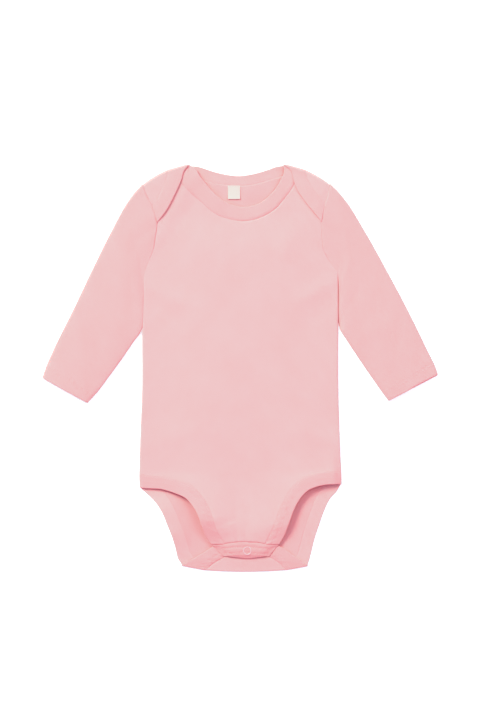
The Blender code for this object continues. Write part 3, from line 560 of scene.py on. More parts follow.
def flapLevel(plan):
    # the flap falls towards the crotch fold
    return level["crotchFlap"] - placketDip["flapFall"] * ease(plan[..., 1], *ramp["flap"])


def placketEnds(plan):
    # 0 inside the placket, easing to 1 at its slanted ends
    press = np.zeros(plan.shape[:-1])
    for side in (left, right):
        corner, foot = sideOf("frontLeg", side)[-1], sideOf("placketBottom", side)[0]
        run = unit(foot - corner)
        inside = (plan - corner) @ (side * np.array([-run[1], run[0]]))
        press = np.maximum(press, ease(inside, placketDip["endReach"], 0.0))
    return press * ease(plan[..., 1], *ramp["placketEnds"])


def frontLevel(plan):
    # front level + climb into the shoulders + climb to the placket - its dips + the lofts
    x, y = plan[..., 0], plan[..., 1]
    lift = shoulderLift(plan)
    height = level["front"] + (level["shoulderFront"] - level["front"]) * lift
    height = height + (level["crotchFront"] - level["front"]) * ease(y, *ramp["toPlacket"])
    beside = ease(np.abs(x - snap["at"][0]), placketDip["from"], placketDip["full"])
    height = height - placketDip["beside"] * beside * ease(y, *ramp["besideSnap"])
    height = height - placketDip["below"] * ease(y, *ramp["belowSnap"])
    inside = loft["chestEdge"] - np.abs(x)
    dome = ease(inside, loft["chestFrom"], loft["chestFull"]) * ease(y, *ramp["chestFoot"])
    chest = loft["chest"] * dome * (1 - lift) * ease(y, *ramp["chestTop"])
    return height + chest + legLoft(plan) + neckLoft(plan)


# How many rows and columns the body's grid has, and where they crowd, bend and fan out, in mm and shares.
gridSteps = {
    "shoulder": 15,
    "shoulderShare": 0.17,  # of a row, on each side
    "neck": 76,
    "legs": 58,
    "sides": 112,
    "yoke": 58,
    "fold": 10,
    "lap": 26,
    "flap": 12,
    "crotchRows": {"front": 12, "back": 14},  # rows over which the crotch's curve straightens
    "flapRows": 8,
    "levelShare": 0.15,  # of a leg seam's level run that counts in its rows' spacing
    "hipReach": (9.0, 4.0),  # from the hip, where all of it counts
    "rollFrom": (2.0, 0.7),  # from the side, where a row's end is flat and where it is rolled
    "rollEnd": (0.12, 0.0),  # share of the yoke where it is flat again
    "fanRows": (9, 16),  # rows before and after the hip that fan out
    "fanWidth": 14.0,
    "fanRise": 4.0,
}
# the close columns at a row's ends, as angles where it is rolled and as mm where it is flat
rollAngles = np.radians(np.array([4.0, 16.0, 30.0, 44.0, 58.0, 74.0, 90.0]))
flatSteps = np.array([0.0, 0.35, 0.7, 1.05, 1.4, 1.75, 2.1])


def columnShares():
    # even columns: the shoulder's on each side and the neck's between them
    part = gridSteps["shoulderShare"]
    shoulder = np.linspace(0.0, part, gridSteps["shoulder"] + 1)
    neck = np.linspace(part, 1 - part, gridSteps["neck"] + 1)
    return np.concatenate([shoulder, neck[1:], 1 - shoulder[-2::-1]])


def acrossGrid(start, end, roll):
    # straight rows from start to end: close columns at both ends, then even ones
    radius = level["front"] / 2
    rolled = wall["jersey"] / 2 + radius * (1 - np.cos(rollAngles))
    close = flatSteps + roll[:, None] * (rolled - flatSteps)
    width = np.linalg.norm(end - start, axis=1)[:, None]
    inner = close[:, -1:] + columnShares() * (width - 2 * close[:, -1:])
    places = np.hstack([close[:, :-1], inner, width - close[:, -2::-1]])
    return start[:, None] + (places / width)[..., None] * (end - start)[:, None]


def raised(plan, height, roll, facing):
    # the plan at this height, its ends bent round the side seam: middle + facing r sin(angle)
    grid = withHeight(plan, height)
    middle = (level["front"] + wall["jersey"]) / 2
    side = middle + facing * level["front"] / 2 * np.sin(rollAngles)
    share = roll[:, None]
    count = len(rollAngles)
    grid[:, :count, 2] += share * (side - grid[:, :count, 2])
    grid[:, -count:, 2] += share * (side[::-1] - grid[:, -count:, 2])
    return grid


def topRow(which):
    # along one shoulder fold, round the neck seam and along the other fold
    ends = []
    for side in (left, right):
        close = flatSteps / np.linalg.norm(foldLine(side, [0.0]) - foldLine(side, [1.0]))
        shares = np.linspace(1 - close[-1], neckOnFold[which]["seam"], gridSteps["shoulder"] + 1)
        ends.append(foldLine(side, np.concatenate([1 - close[:-1], shares])))
    neck = evenly(neckCurve(which, "seam"), gridSteps["neck"] + 1)
    return np.concatenate([ends[0], neck[1:-1], ends[1][::-1]])


def yokePlan(which):
    # between a straight row at the underarms and the top row, pulled to the armholes at its ends
    shares = np.linspace(0.0, 1.0, gridSteps["yoke"] + 1)[1:]
    first = [sideOf("armhole", side)[:1] for side in (left, right)]
    base = acrossGrid(*first, np.ones(1))[0]
    top = topRow(which)
    u = ((base[:, 0] - base[0, 0]) / (base[-1, 0] - base[0, 0]))[None, :, None]
    plan = (1 - shares)[:, None, None] * base + shares[:, None, None] * top
    starts = curveThrough(sideOf("armhole", left), shares)[:, None]
    ends = curveThrough(sideOf("armhole", right), shares)[:, None]
    plan = plan + (1 - u) ** 3 * (starts - plan[:, :1]) + u**3 * (ends - plan[:, -1:])
    plan[-1] = top
    return plan, shares


def overShoulders(top, which):
    # a half circle from one height to the other round each fold, then the lap down to the armhole
    half = wall["jersey"] / 2
    low = half + (level["shoulderFront"] if which == "front" else 0.0)
    count = len(flatSteps) + gridSteps["shoulder"]
    shares = np.linspace(0.0, shape["lapEndShare"], gridSteps["lap"] + 1)
    fan, laps = np.zeros_like(top), np.repeat(top[None], len(shares), axis=0)
    lapHeight = np.full(laps.shape[:2], level["shoulderFront"])
    for side, columns in ((left, slice(0, count)), (right, slice(-1, -count - 1, -1))):
        blend = np.linspace(1.0, 0.0, count)[:, None]
        below, last = sideOf("armhole", side)[-2:]
        fan[columns] = blend * unit(last - below) + (1 - blend) * foldNormal(side)
        outer = curveThrough(sideOf("armhole", side)[shape["lapSeamEnd"]:][::-1], shares)[1:, None]
        inner = curveThrough(lapCurves(which, side)[1], shares)[1:, None]
        places = np.linalg.norm(top[columns] - top[columns][0], axis=1)
        laps[1:, columns] = outer + (places / places[-1])[:, None] * (inner - outer)
        lapHeight[:, columns] = lapLevel(laps[:, columns], which, side) + half
    reach, turnHeight = halfCircle(low, lapHeight[0], gridSteps["fold"])
    turn = top + fan * reach[..., None]
    return withHeight(np.concatenate([turn, laps]), np.concatenate([turnHeight, lapHeight]))


def rowShares(curve, tried=400):
    # rows up a leg seam, spaced by its climb: |dy| + levelShare |dx|, and |dx| again close to the hip
    fine = evenly(curve, tried)
    step = np.abs(np.diff(fine, axis=0))
    nearHip = ease(np.abs(fine[1:, 0] - fine[-1, 0]), *gridSteps["hipReach"])
    climb = np.concatenate([[0.0], np.cumsum(step[:, 1] + (gridSteps["levelShare"] + nearHip) * step[:, 0])])
    wanted = np.linspace(0.0, climb[-1], gridSteps["legs"] + 1)[:-1]
    return np.interp(wanted, climb, np.linspace(0.0, 1.0, tried))


def bodyGrid(which):
    # rows from the crotch to the shoulder's end: legs, sides, yoke, folds and laps
    front = which == "front"
    count = gridSteps["legs"]
    curves = [(frontLegCurves if front else backLegCurves)(side)[1][::-1] for side in (left, right)]
    seams = [curveThrough(curve, rowShares(curve)) for curve in curves]
    hips = [sideOf("bodySide", side)[0, 0] for side in (left, right)]
    fromSide = np.maximum(*(np.abs(seam[:, 0] - hip) for seam, hip in zip(seams, hips)))
    roll = ease(fromSide, *gridSteps["rollFrom"])
    legs = acrossGrid(*seams, roll)
    share = ease(np.arange(count), gridSteps["crotchRows"][which], 0)[:, None]
    if front:
        t = (legs[..., 0] - legs[:, :1, 0]) / (legs[:, -1:, 0] - legs[:, :1, 0])
        legs[..., 1] += share * 4 * shape["placketTopRise"] * t * (1 - t)
    else:
        legs[..., 1] += share * (crotchFold(legs[0, :, 0])[:, 1] - legs[0, :, 1])
    ends = [evenly(sideOf("bodySide", side), gridSteps["sides"] + 1) for side in (left, right)]
    sides = acrossGrid(*ends, np.ones(gridSteps["sides"] + 1))
    yoke, shares = yokePlan(which)
    plan = np.concatenate([legs, sides, yoke])
    rows, (before, after) = np.arange(len(plan)), gridSteps["fanRows"]
    fanned = np.where(rows < count, ease(rows, count - before, count), ease(rows, count + after, count))
    fromEnd = np.minimum(plan[..., 0] - plan[:, :1, 0], plan[:, -1:, 0] - plan[..., 0])
    fromEnd = fromEnd.clip(0.0, gridSteps["fanWidth"]) / gridSteps["fanWidth"]
    plan[..., 1] += gridSteps["fanRise"] * fanned[:, None] * (1 - (1 - fromEnd) ** 2)
    bend = np.concatenate([roll, np.ones(len(sides)), ease(shares, *gridSteps["rollEnd"])])
    height = (frontLevel(plan) if front else backLevel(plan)) + wall["jersey"] / 2
    return raised(plan, height, bend, 1 if front else -1), overShoulders(yoke[-1], which)


def flapGrid():
    # the crotch flap from its end down to the fold, and the half circle round the fold
    seams = [evenly(flapCurves(side)[1], gridSteps["flap"] + 1)[::-1] for side in (left, right)]
    plan = acrossGrid(*seams, np.zeros(gridSteps["flap"] + 1))
    share = ease(np.arange(len(plan)), len(plan) - gridSteps["flapRows"], len(plan) - 1)[:, None]
    plan[..., 1] += share * (crotchFold(plan[-1, :, 0])[:, 1] - plan[-1, :, 1])
    low, high = wall["jersey"] / 2, flapLevel(plan) + wall["jersey"] / 2
    flap = withHeight(plan, high)
    reach, turnHeight = halfCircle(low, high[-1], gridSteps["fold"])
    turn = np.repeat(flap[-1:], len(reach), axis=0)
    turn[..., 1] -= reach
    turn[..., 2] = turnHeight
    return np.concatenate([flap, turn[::-1]])


def closedShell(name, grid, thickness, finishes, wraps=False, keep=None, wrong=0):
    # grid + n t/2 and grid - n t/2 with t the thickness, joined by a strip round every open edge
    # wrong says which of the two, +n (1) or -n (-1), wears the second finish
    rows, columns = grid.shape[:2]
    half = normals(grid, wraps) * (np.broadcast_to(thickness, (rows, columns)) / 2)[..., None]
    points = offFloor(np.concatenate([(grid + half).reshape(-1, 3), (grid - half).reshape(-1, 3)]))
    index = np.arange(rows * columns).reshape(rows, columns)
    after = np.roll(index, -1, axis=1) if wraps else index[:, 1:]
    here = index if wraps else index[:, :-1]
    quads = np.stack([here[:-1], after[:-1], after[1:], here[1:]], axis=-1)
    wide = np.concatenate([grid, grid[:, :1]], axis=1) if wraps else grid
    u = lengthAlong(wide.transpose(1, 0, 2)).T
    u = u - u[:, u.shape[1] // 2][:, None]
    v = lengthAlong(wide)
    uv = np.stack([u, v], axis=-1)
    corners = np.stack([uv[:-1, :-1], uv[:-1, 1:], uv[1:, 1:], uv[1:, :-1]], axis=-2)
    if keep is not None:
        quads, corners = quads[keep], corners[keep]
    quads, corners = quads.reshape(-1, 4), corners.reshape(-1, 4, 2)
    edges = np.concatenate([quads[:, [k, (k + 1) % 4]] for k in range(4)])
    edgeUv = np.concatenate([corners[:, [k, (k + 1) % 4]] for k in range(4)])
    key = edges.min(1) * len(points) + edges.max(1)
    _, first, count = np.unique(key, return_index=True, return_counts=True)
    rim, rimUv = edges[first[count == 1]], edgeUv[first[count == 1]]
    under = rows * columns
    strip = np.stack([rim[:, 1], rim[:, 0], rim[:, 0] + under, rim[:, 1] + under], axis=-1)
    stripUv = rimUv[:, [1, 0, 0, 1]]
    faces = np.concatenate([quads, quads[:, ::-1] + under, strip])
    faceUv = np.concatenate([corners, corners[:, ::-1], stripUv])
    parts = [len(quads), len(quads), len(strip)]
    slots, smooth = np.repeat([wrong == 1, wrong == -1, False], parts), np.repeat([True, True, False], parts)
    used, faces = np.unique(faces, return_inverse=True)
    return meshPiece(name, points[used], faces.reshape(-1, 4), finishes, faceUv, slots, smooth)


def offFloor(points):
    # in metres, and no lower than a hair above the floor
    points[:, 2] = np.maximum(points[:, 2], cloth["floorGap"])
    return points * mm


def meshPiece(name, points, faces, finishes, faceUv=None, slots=None, smooth=None):
    # points and faces as one mesh object that rides on the garment
    mesh = bpy.data.meshes.new(name)
    mesh.from_pydata(points.tolist(), [], faces if isinstance(faces, list) else faces.tolist())
    for finish in finishes:
        mesh.materials.append(finish)
    if faceUv is not None:
        mesh.uv_layers.new(name="grain").data.foreach_set("uv", faceUv.ravel())
        mesh.polygons.foreach_set("material_index", slots.astype(np.int32))
    mesh.polygons.foreach_set("use_smooth", np.ones(len(mesh.polygons), bool) if smooth is None else smooth)
    mesh.update()
    piece = bpy.data.objects.new(name, mesh)
    bpy.context.scene.collection.objects.link(piece)
    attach(piece, "root")
    return piece


# How every band is shaped across: steps from its edge and seam, and how its seam and grooves press it in.
ribbon = {
    "edgeAngles": (14.0, 34.0, 60.0, 90.0),  # round the half circle at its edge
    "seamSteps": (1.4, 0.9, 0.45, 0.0),
    "seamThinning": (0.42, 1.6),  # share of the thickness, and reach
    "seamPress": 0.3,
    "seamReach": (2.2, 1.2),  # where a seam is unseen, and how much less where it shows
    "plainGroove": 0.03,
    "lean": 0.5,  # of the puckers, for each mm across
    "swellWave": (31.0, 0.5),  # length, and share of the swell
    "thinnest": 0.25,
}


def ribbonGrid(edge, seam, outward, spec, show):
    # rows across a band from its edge to its seam, its thickness at each point, and the way out
    # near the edge the thickness follows a half circle; seam and stitch lines press it in
    # show, one number a row, is how strongly they do
    radius = cloth["band"] / 2
    edgeSteps = radius * (1 - np.cos(np.radians(ribbon["edgeAngles"])))
    seamSteps = np.array(ribbon["seamSteps"])
    run = seam - edge
    width = np.linalg.norm(run, axis=1)[:, None]
    even = np.linspace(0.0, 1.0, spec["columns"] + 1)[1:-1]
    inner = edgeSteps[-1] + even * (width - edgeSteps[-1] - seamSteps[0])
    start, end = np.broadcast_to(edgeSteps, (len(edge), len(edgeSteps))), width - seamSteps
    places = np.hstack([start, inner, end])
    grid = edge[:, None] + (places / width)[..., None] * run[:, None]
    along = lengthAlong((edge + seam) / 2)[:, None]
    thick = cloth["band"] * np.sqrt(1 - (1 - np.clip(places / radius, 0.0, 1.0)) ** 2)
    fromSeam = width - places
    show = np.broadcast_to(show, len(edge))[:, None]
    thinning, spread = ribbon["seamThinning"]
    thick = thick * (1 - thinning * np.exp(-((fromSeam / spread) ** 2)))
    reach = ribbon["seamReach"][0] - ribbon["seamReach"][1] * show
    lift = -ribbon["seamPress"] * show * np.exp(-((fromSeam / reach) ** 2))
    for k, line in enumerate(spec["stitchLines"]):
        groove = np.exp(-(((fromSeam - line) / spec["groove"]) ** 2))
        near = np.exp(-(((fromSeam - line) / spec["puckerReach"]) ** 2))
        thick = thick - (ribbon["plainGroove"] + spec["press"] * show) * groove
        pucker = ripple(along + ribbon["lean"] * fromSeam, spec["wave"], k + spec["seed"])
        lift = lift + spec["pucker"] * show * near * pucker
    wave, part = ribbon["swellWave"]
    uneven = 1 + part * ripple(along, wave, spec["seed"])
    lift = lift + spec["swell"] * np.sin(np.pi * places / width) * uneven
    out = normals(grid) * outward
    return grid + out * lift[..., None], np.maximum(thick, ribbon["thinnest"]), out


stitch = {
    "pitch": 2.6,  # mm from stitch to stitch
    "length": 2.2,
    "radius": 0.24,
    "taper": 0.45,  # share of the radius that is lost at the ends
    "lift": 0.16,
    "sink": 0.3,
    "sides": 5,
    "rings": 5,
    "trim": 3.0,  # of a band's length without stitches, at both ends
}


def sampled(places, along, values):
    # values given along a line, read at these places of it
    return np.stack([np.interp(places, along, values[:, k]) for k in range(3)], axis=1)


def stitchRows(name, lines):
    # short bars along each line: ring t from -1 to 1 at height lift (1-t^2) - sink t^2
    sides, rings = stitch["sides"], stitch["rings"]
    t = np.linspace(-1.0, 1.0, rings)
    angle = 2 * np.pi * np.arange(sides) / sides
    points, faces = [], []
    for line, up in lines:
        along = lengthAlong(line)
        count = int(along[-1] / stitch["pitch"])
        centre = (np.arange(count) + 0.5) * along[-1] / count
        at = sampled(centre, along, line)
        n = unit(sampled(centre, along, up))
        run = unit(sampled(centre, along, np.gradient(line, axis=0)))
        side = np.cross(run, n)
        radius = stitch["radius"] * (1 - stitch["taper"] * t**2)
        height = stitch["lift"] * (1 - t**2) - stitch["sink"] * t**2
        ring = (
            at[:, None, None]
            + run[:, None, None] * (t * stitch["length"] / 2)[:, None, None]
            + side[:, None, None] * (radius[:, None] * np.cos(angle))[..., None]
            + n[:, None, None] * (radius[:, None] * np.sin(angle) + height[:, None])[..., None]
        )
        first = sum(len(block) for block in points)
        points.append(ring.reshape(-1, 3))
        base = first + np.arange(count)[:, None] * rings * sides
        step = np.arange(sides)
        after = (step + 1) % sides
        for k in range(rings - 1):
            a, b = base + k * sides, base + (k + 1) * sides
            faces += np.stack([a + step, a + after, b + after, b + step], axis=-1).reshape(-1, 4).tolist()
        faces += (base + step[::-1]).tolist() + (base + (rings - 1) * sides + step).tolist()
    return meshPiece(name, offFloor(np.concatenate(points)), faces, [thread])


def bandLine(grid, out, thick, fromSeam):
    # the line on top of a band at this distance from its seam, trimmed at both ends
    width = np.linalg.norm(grid[:, -1] - grid[:, 0], axis=1)
    share = 1 - fromSeam / width
    places = np.linalg.norm(grid - grid[:, :1], axis=2) / width[:, None]
    column = (places < share[:, None]).sum(1).clip(1, grid.shape[1] - 1)
    rows = np.arange(len(grid))
    f = (share - places[rows, column - 1]) / (places[rows, column] - places[rows, column - 1])
    top = grid + out * (thick / 2)[..., None]
    line = top[rows, column - 1] + f[:, None] * (top[rows, column] - top[rows, column - 1])
    along = lengthAlong(line)
    inside = (along > stitch["trim"]) & (along < along[-1] - stitch["trim"])
    return line[inside], out[rows, column][inside]


def bandStitches(name, grid, out, thick, distances):
    # rows of stitches on top of a band, at these distances from its seam
    stitches = stitchRows(name, [bandLine(grid, out, thick, distance) for distance in distances])


fineRelief = 0.0001  # metres, of the bumps in thread, enamel and tape


class Finish:
    # a new material with short ways to add and join its nodes
    def __init__(self, name, colour, roughness):
        self.material = bpy.data.materials.new(name)
        self.material.use_nodes = True
        self.nodes = self.material.node_tree.nodes
        self.links = self.material.node_tree.links
        self.shader = self.nodes["Principled BSDF"]
        self.shader.inputs["Base Color"].default_value = (*colour, 1.0)
        self.shader.inputs["Roughness"].default_value = roughness

    def put(self, value, socket):
        if isinstance(value, bpy.types.NodeSocket):
            self.links.new(value, socket)
        else:
            socket.default_value = value

    def maths(self, operation, a, b=0.0):
        node = self.nodes.new("ShaderNodeMath")
        node.operation = operation
        self.put(a, node.inputs[0])
        self.put(b, node.inputs[1])
        return node.outputs[0]

    def half(self, wave):
        # 0.5 + 0.5 wave
        value = self.maths("MULTIPLY_ADD", wave, 0.5)
        value.node.inputs[2].default_value = 0.5
        return value

    def noise(self, vector, scale, detail=2.0):
        node = self.nodes.new("ShaderNodeTexNoise")
        node.inputs["Scale"].default_value = scale
        node.inputs["Detail"].default_value = detail
        self.put(vector, node.inputs["Vector"])
        return node.outputs["Fac"]

    def mixed(self, share, first, second):
        node = self.nodes.new("ShaderNodeMix")
        node.data_type = "RGBA"
        self.put(share, node.inputs["Factor"])
        self.put((*first, 1.0) if isinstance(first, tuple) else first, node.inputs["A"])
        self.put((*second, 1.0) if isinstance(second, tuple) else second, node.inputs["B"])
        return node.outputs["Result"]

    def bumped(self, height, strength, distance):
        node = self.nodes.new("ShaderNodeBump")
        node.inputs["Strength"].default_value = strength
        node.inputs["Distance"].default_value = distance
        self.put(height, node.inputs["Height"])
        self.links.new(node.outputs["Normal"], self.shader.inputs["Normal"])

    def wear(self, values):
        for name, value in values.items():
            self.shader.inputs[name].default_value = value

    def speckled(self, scale, dark, pale, bump):
        # colour and bump by a noise of this scale
        coordinates = self.nodes.new("ShaderNodeTexCoord")
        share = self.noise(coordinates.outputs["Object"], scale)
        self.put(self.mixed(share, dark, pale), self.shader.inputs["Base Color"])
        self.bumped(share, bump, fineRelief)

    def grain(self):
        node = self.nodes.new("ShaderNodeUVMap")
        node.uv_map = "grain"
        split = self.nodes.new("ShaderNodeSeparateXYZ")
        self.links.new(node.outputs["UV"], split.inputs[0])
        return node.outputs["UV"], split.outputs["X"], split.outputs["Y"]


jerseyKnit = {
    "colour": (0.665, 0.51, 0.51),
    # deep: the colour painted into the knit's low parts, as shade between the loops
    "deep": (0.607, 0.43, 0.43),
    "pale": (0.685, 0.545, 0.545),
    "wale": 0.95,  # mm
    "course": 0.75,
    "lean": 1.1,  # courses that a leg climbs for each wale across
    "fibre": (2.6, 3.0, 0.6),  # scale, detail and share of the relief
    "cloud": 0.03,
    "shade": 0.55,  # how far the stitches' height mixes colour into deep: painted shade, darker where the loops dip
    "tone": 0.5,  # how far the cloud mixes pale into that
    "bump": 0.25,
    "relief": 0.0004,
    "roughness": 0.92,
    "sheen": 0.2,
    "bleed": 0.3,
}


def knit(name, spec):
    # stitches of the knit: V legs lean by lean |x| of a course, x being -0.5 to 0.5 across a wale
    # height = (0.5 + 0.5 sin 2 pi (y + lean |x|)) * sin(2 pi |x|), y in courses
    finish = Finish(name, spec["colour"], spec["roughness"])
    uv, u, v = finish.grain()
    wale = finish.maths("DIVIDE", u, spec["wale"])
    x = finish.maths("ABSOLUTE", finish.maths("SUBTRACT", finish.maths("FRACT", wale), 0.5))
    course = finish.maths("DIVIDE", v, spec["course"])
    phase = finish.maths("ADD", course, finish.maths("MULTIPLY", x, spec["lean"]))
    loop = finish.half(finish.maths("SINE", finish.maths("MULTIPLY", phase, 2 * np.pi)))
    leg = finish.maths("SINE", finish.maths("MULTIPLY", x, 2 * np.pi))
    height = finish.maths("MULTIPLY", loop, leg)
    scale, detail, share = spec["fibre"]
    fibre = finish.noise(uv, scale, detail)
    cloud = finish.noise(uv, spec["cloud"])
    relief = finish.maths("ADD", height, finish.maths("MULTIPLY", fibre, share))
    # painted shade: the low parts of each stitch are mixed towards deep, so the hollows between loops are
    # darker
    shade = finish.mixed(finish.maths("MULTIPLY", height, spec["shade"]), spec["deep"], spec["colour"])
    tone = finish.mixed(finish.maths("MULTIPLY", cloud, spec["tone"]), shade, spec["pale"])
    finish.put(tone, finish.shader.inputs["Base Color"])
    finish.bumped(relief, spec["bump"], spec["relief"])
    finish.wear({
        "Sheen Weight": spec["sheen"],
        "Sheen Roughness": 0.45,
        "Sheen Tint": (1.0, 0.86, 0.87, 1.0),
        "Specular IOR Level": 0.25,
        "Subsurface Weight": spec["bleed"],
        "Subsurface Radius": (1.0, 0.45, 0.45),
        "Subsurface Scale": 0.0012,
    })
    return finish.material


def dyed(spec, colour, deep, pale):
    # the same knit in other colours: each copy is painted darker than the body's, as shade where it lies
    return dict(spec, colour=colour, deep=deep, pale=pale)


# sleeves: the body's knit painted a little darker, as shade on the sleeves
sleeveKnitPaintedShade = dyed(jerseyKnit, (0.665, 0.49, 0.49), (0.607, 0.41, 0.41), (0.685, 0.52, 0.52))
# the wrong side: the knit painted darker and pinker, as the shade in the hollows under the front and inside
# the openings
insideKnitPaintedShade = dyed(jerseyKnit, (0.665, 0.48, 0.485), (0.607, 0.40, 0.405), (0.685, 0.51, 0.515))
# bindings: the sleeves' painted-shade colours, with a coarser knit
bindingKnit = dict(sleeveKnitPaintedShade, wale=1.1, course=0.8)
# leg bands: the binding painted darker, as the shade that falls low on the garment, away from the light
legKnitPaintedShade = dyed(bindingKnit, (0.665, 0.47, 0.475), (0.607, 0.39, 0.395), (0.685, 0.50, 0.505))
# placket: the binding painted darker still, as the shade low on the garment round the snap
placketKnitPaintedShade = dyed(bindingKnit, (0.665, 0.44, 0.445), (0.607, 0.365, 0.37), (0.685, 0.47, 0.475))
# the second finish, on the panels' and sleeves' inner faces, is the inside knit painted darker as shade
jersey = [knit("pinkJersey", jerseyKnit), knit("pinkJerseyInsidePaintedShade", insideKnitPaintedShade)]
# the sleeves wear the knit painted darker as shade outside, and the inside knit within
sleeveJerseyPaintedShade = [knit("pinkSleeveJerseyPaintedShade", sleeveKnitPaintedShade), jersey[1]]
binding = [knit("pinkBinding", bindingKnit)]
placketBindingPaintedShade = [knit("pinkPlacketBindingPaintedShade", placketKnitPaintedShade)]
legBindingPaintedShade = [knit("pinkLegBindingPaintedShade", legKnitPaintedShade)]


def threadFinish():
    # pink polyester thread: fine twisted strands across each stitch
    finish = Finish("pinkThread", (0.665, 0.48, 0.485), 0.6)
    finish.speckled(3000.0, (0.65, 0.42, 0.425), (0.73, 0.53, 0.535), 0.3)
    finish.wear({"Sheen Weight": 0.15})
    return finish.material


def enamelFinish():
    # pale pink enamel on metal, a little uneven, clear coat
    finish = Finish("paleEnamel", (0.72, 0.52, 0.54), 0.28)
    finish.speckled(900.0, (0.665, 0.48, 0.50), (0.75, 0.56, 0.575), 0.1)
    finish.wear({"Coat Weight": 0.6, "Coat Roughness": 0.12})
    return finish.material


tapeWeave = {"weft": 0.45, "warp": 0.3, "dark": (0.54, 0.56, 0.515), "pale": (0.625, 0.645, 0.60)}


def tapeFinish():
    # woven satin tape: fine threads both ways, sin(u) sin(v)
    finish = Finish("whiteTape", (0.58, 0.60, 0.555), 0.55)
    _, u, v = finish.grain()
    weft = finish.maths("SINE", finish.maths("MULTIPLY", u, 2 * np.pi / tapeWeave["weft"]))
    warp = finish.maths("SINE", finish.maths("MULTIPLY", v, 2 * np.pi / tapeWeave["warp"]))
    share = finish.half(finish.maths("MULTIPLY", weft, warp))
    colour = finish.mixed(share, tapeWeave["dark"], tapeWeave["pale"])
    finish.put(colour, finish.shader.inputs["Base Color"])
    finish.bumped(share, 0.3, fineRelief)
    finish.wear({"Sheen Weight": 0.15})
    return finish.material


thread = threadFinish()
enamel = enamelFinish()
tape = [tapeFinish()]
print("finishes ready")

panelSeam = {"press": 0.2, "reach": 0.8, "pucker": 0.1, "puckerReach": 7.0, "wave": 9.0}
bandSeam = dict(panelSeam, press=0.7, reach=0.9)
neckSeam = dict(panelSeam, press=1.2, reach=0.85)
flapRelief = dict(panelSeam, press=1.0, reach=0.9)
placketRelief = dict(panelSeam, press=0.45, pucker=0.22, puckerReach=14.0, wave=11.0)


def seamRelief(plan, curve, seed, show, spec=panelSeam):
    # press show exp(-(d/reach)^2) pressed in, less pucker show exp(-d/puckerReach) times a ripple along
    distance, along, share = nearCurve(plan, curve)
    show = showing(show, share)
    dip = spec["press"] * show * np.exp(-((distance / spec["reach"]) ** 2))
    pucker = spec["pucker"] * show * np.exp(-distance / spec["puckerReach"])
    return dip - pucker * ripple(along, spec["wave"], seed)


def keepMask(grid, bodyRows):
    # faces past the neck seam hold no cloth
    count = len(flatSteps) + gridSteps["shoulder"]
    keep = np.ones((grid.shape[0] - 1, grid.shape[1] - 1), bool)
    keep[bodyRows - 1:, count - 1:grid.shape[1] - count] = False
    return keep


def makeFront():
    # the front's grid, its body moved along its normals by creases less the press of its seams
    body, laps = bodyGrid("front")
    plan = body[..., :2]
    press = seamRelief(plan, neckCurve("front", "seam"), 0.4, seamShow["frontNeck"], neckSeam)
    for k, side in enumerate((left, right)):
        press += seamRelief(plan, frontLegCurves(side)[1], 1.1 + k, seamShow["frontLeg"][side], bandSeam)
        press += seamRelief(plan, sideOf("armhole", side), 2.3 + k, seamShow["armhole"][side])
    corners = np.array([frontLegCurves(side)[1][-1] for side in (left, right)])
    top = bowed(evenly(corners, shape["placketTopPoints"]), shape["placketTopRise"])
    press += seamRelief(plan, top, 3.7, seamShow["placket"], placketRelief)
    lift = creased(plan, frontCreases) * ease(body[..., 2], *shape["creaseHeight"]) - press
    body = body + normals(body) * lift[..., None]
    grid = np.concatenate([body, laps])
    # its wrong side wears the inside knit, painted darker as shade
    piece = closedShell("frontPanel", grid, cloth["jersey"], jersey, keep=keepMask(grid, len(body)), wrong=-1)
    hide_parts("front_panel")


def makeBack():
    # flap, body and laps in one grid, the seams of flap and laps pressed in from above
    flap = flapGrid()
    body, laps = bodyGrid("back")
    for k, side in enumerate((left, right)):
        lapPress = seamRelief(laps[..., :2], lapCurves("back", side)[1], 6.2 + k, seamShow["lap"][side])
        lapPress += seamRelief(laps[..., :2], sideOf("armhole", side), 7.2 + k, seamShow["armhole"][side])
        onTop = level["shoulderLap"] - shape["lapRelief"]
        laps[..., 2] -= lapPress * ease(laps[..., 2], level["shoulderFront"], onTop)
        seam, show = flapCurves(side)[1], seamShow["flap"][side]
        flapPress = seamRelief(flap[..., :2], seam, 8.2 + k, show, flapRelief)
        flap[..., 2] -= flapPress * ease(flap[..., 1], *ramp["flapSeam"])
    grid = np.concatenate([flap, body, laps])
    keep = keepMask(grid, len(flap) + len(body))
    # its wrong side wears the inside knit, painted darker as shade
    piece = closedShell("backPanel", grid, cloth["jersey"], jersey, keep=keep, wrong=1)
    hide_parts("back_panel")


makeBack()
makeFront()
print("panels made")

neckBand = {
    "columns": 16,
    "stations": 150,
    "lapStations": 56,
    "foldSteps": 10,
    "stitchLines": [],
    "swell": 0.12,
    "seed": 0.7,
}


def bandLayer(edge, seam, height, places):
    # edge and seam in one layer at these shares of their length, the seam lapping the panel a little
    edge, seam = curveThrough(edge, places), curveThrough(seam, places)
    seam = seam + cloth["seamLap"] * unit(seam - edge)
    half = cloth["bandMiddle"]
    return np.column_stack([edge, height(edge) + half]), np.column_stack([seam, height(seam) + half])


def turnedLine(point, outward, low, high, steps, taper=1.0):
    # one point carried round a half circle from low to high, taper of it deep
    reach, height = halfCircle(low, high, steps)
    return np.hstack([point[:2] + outward * taper * reach, height])


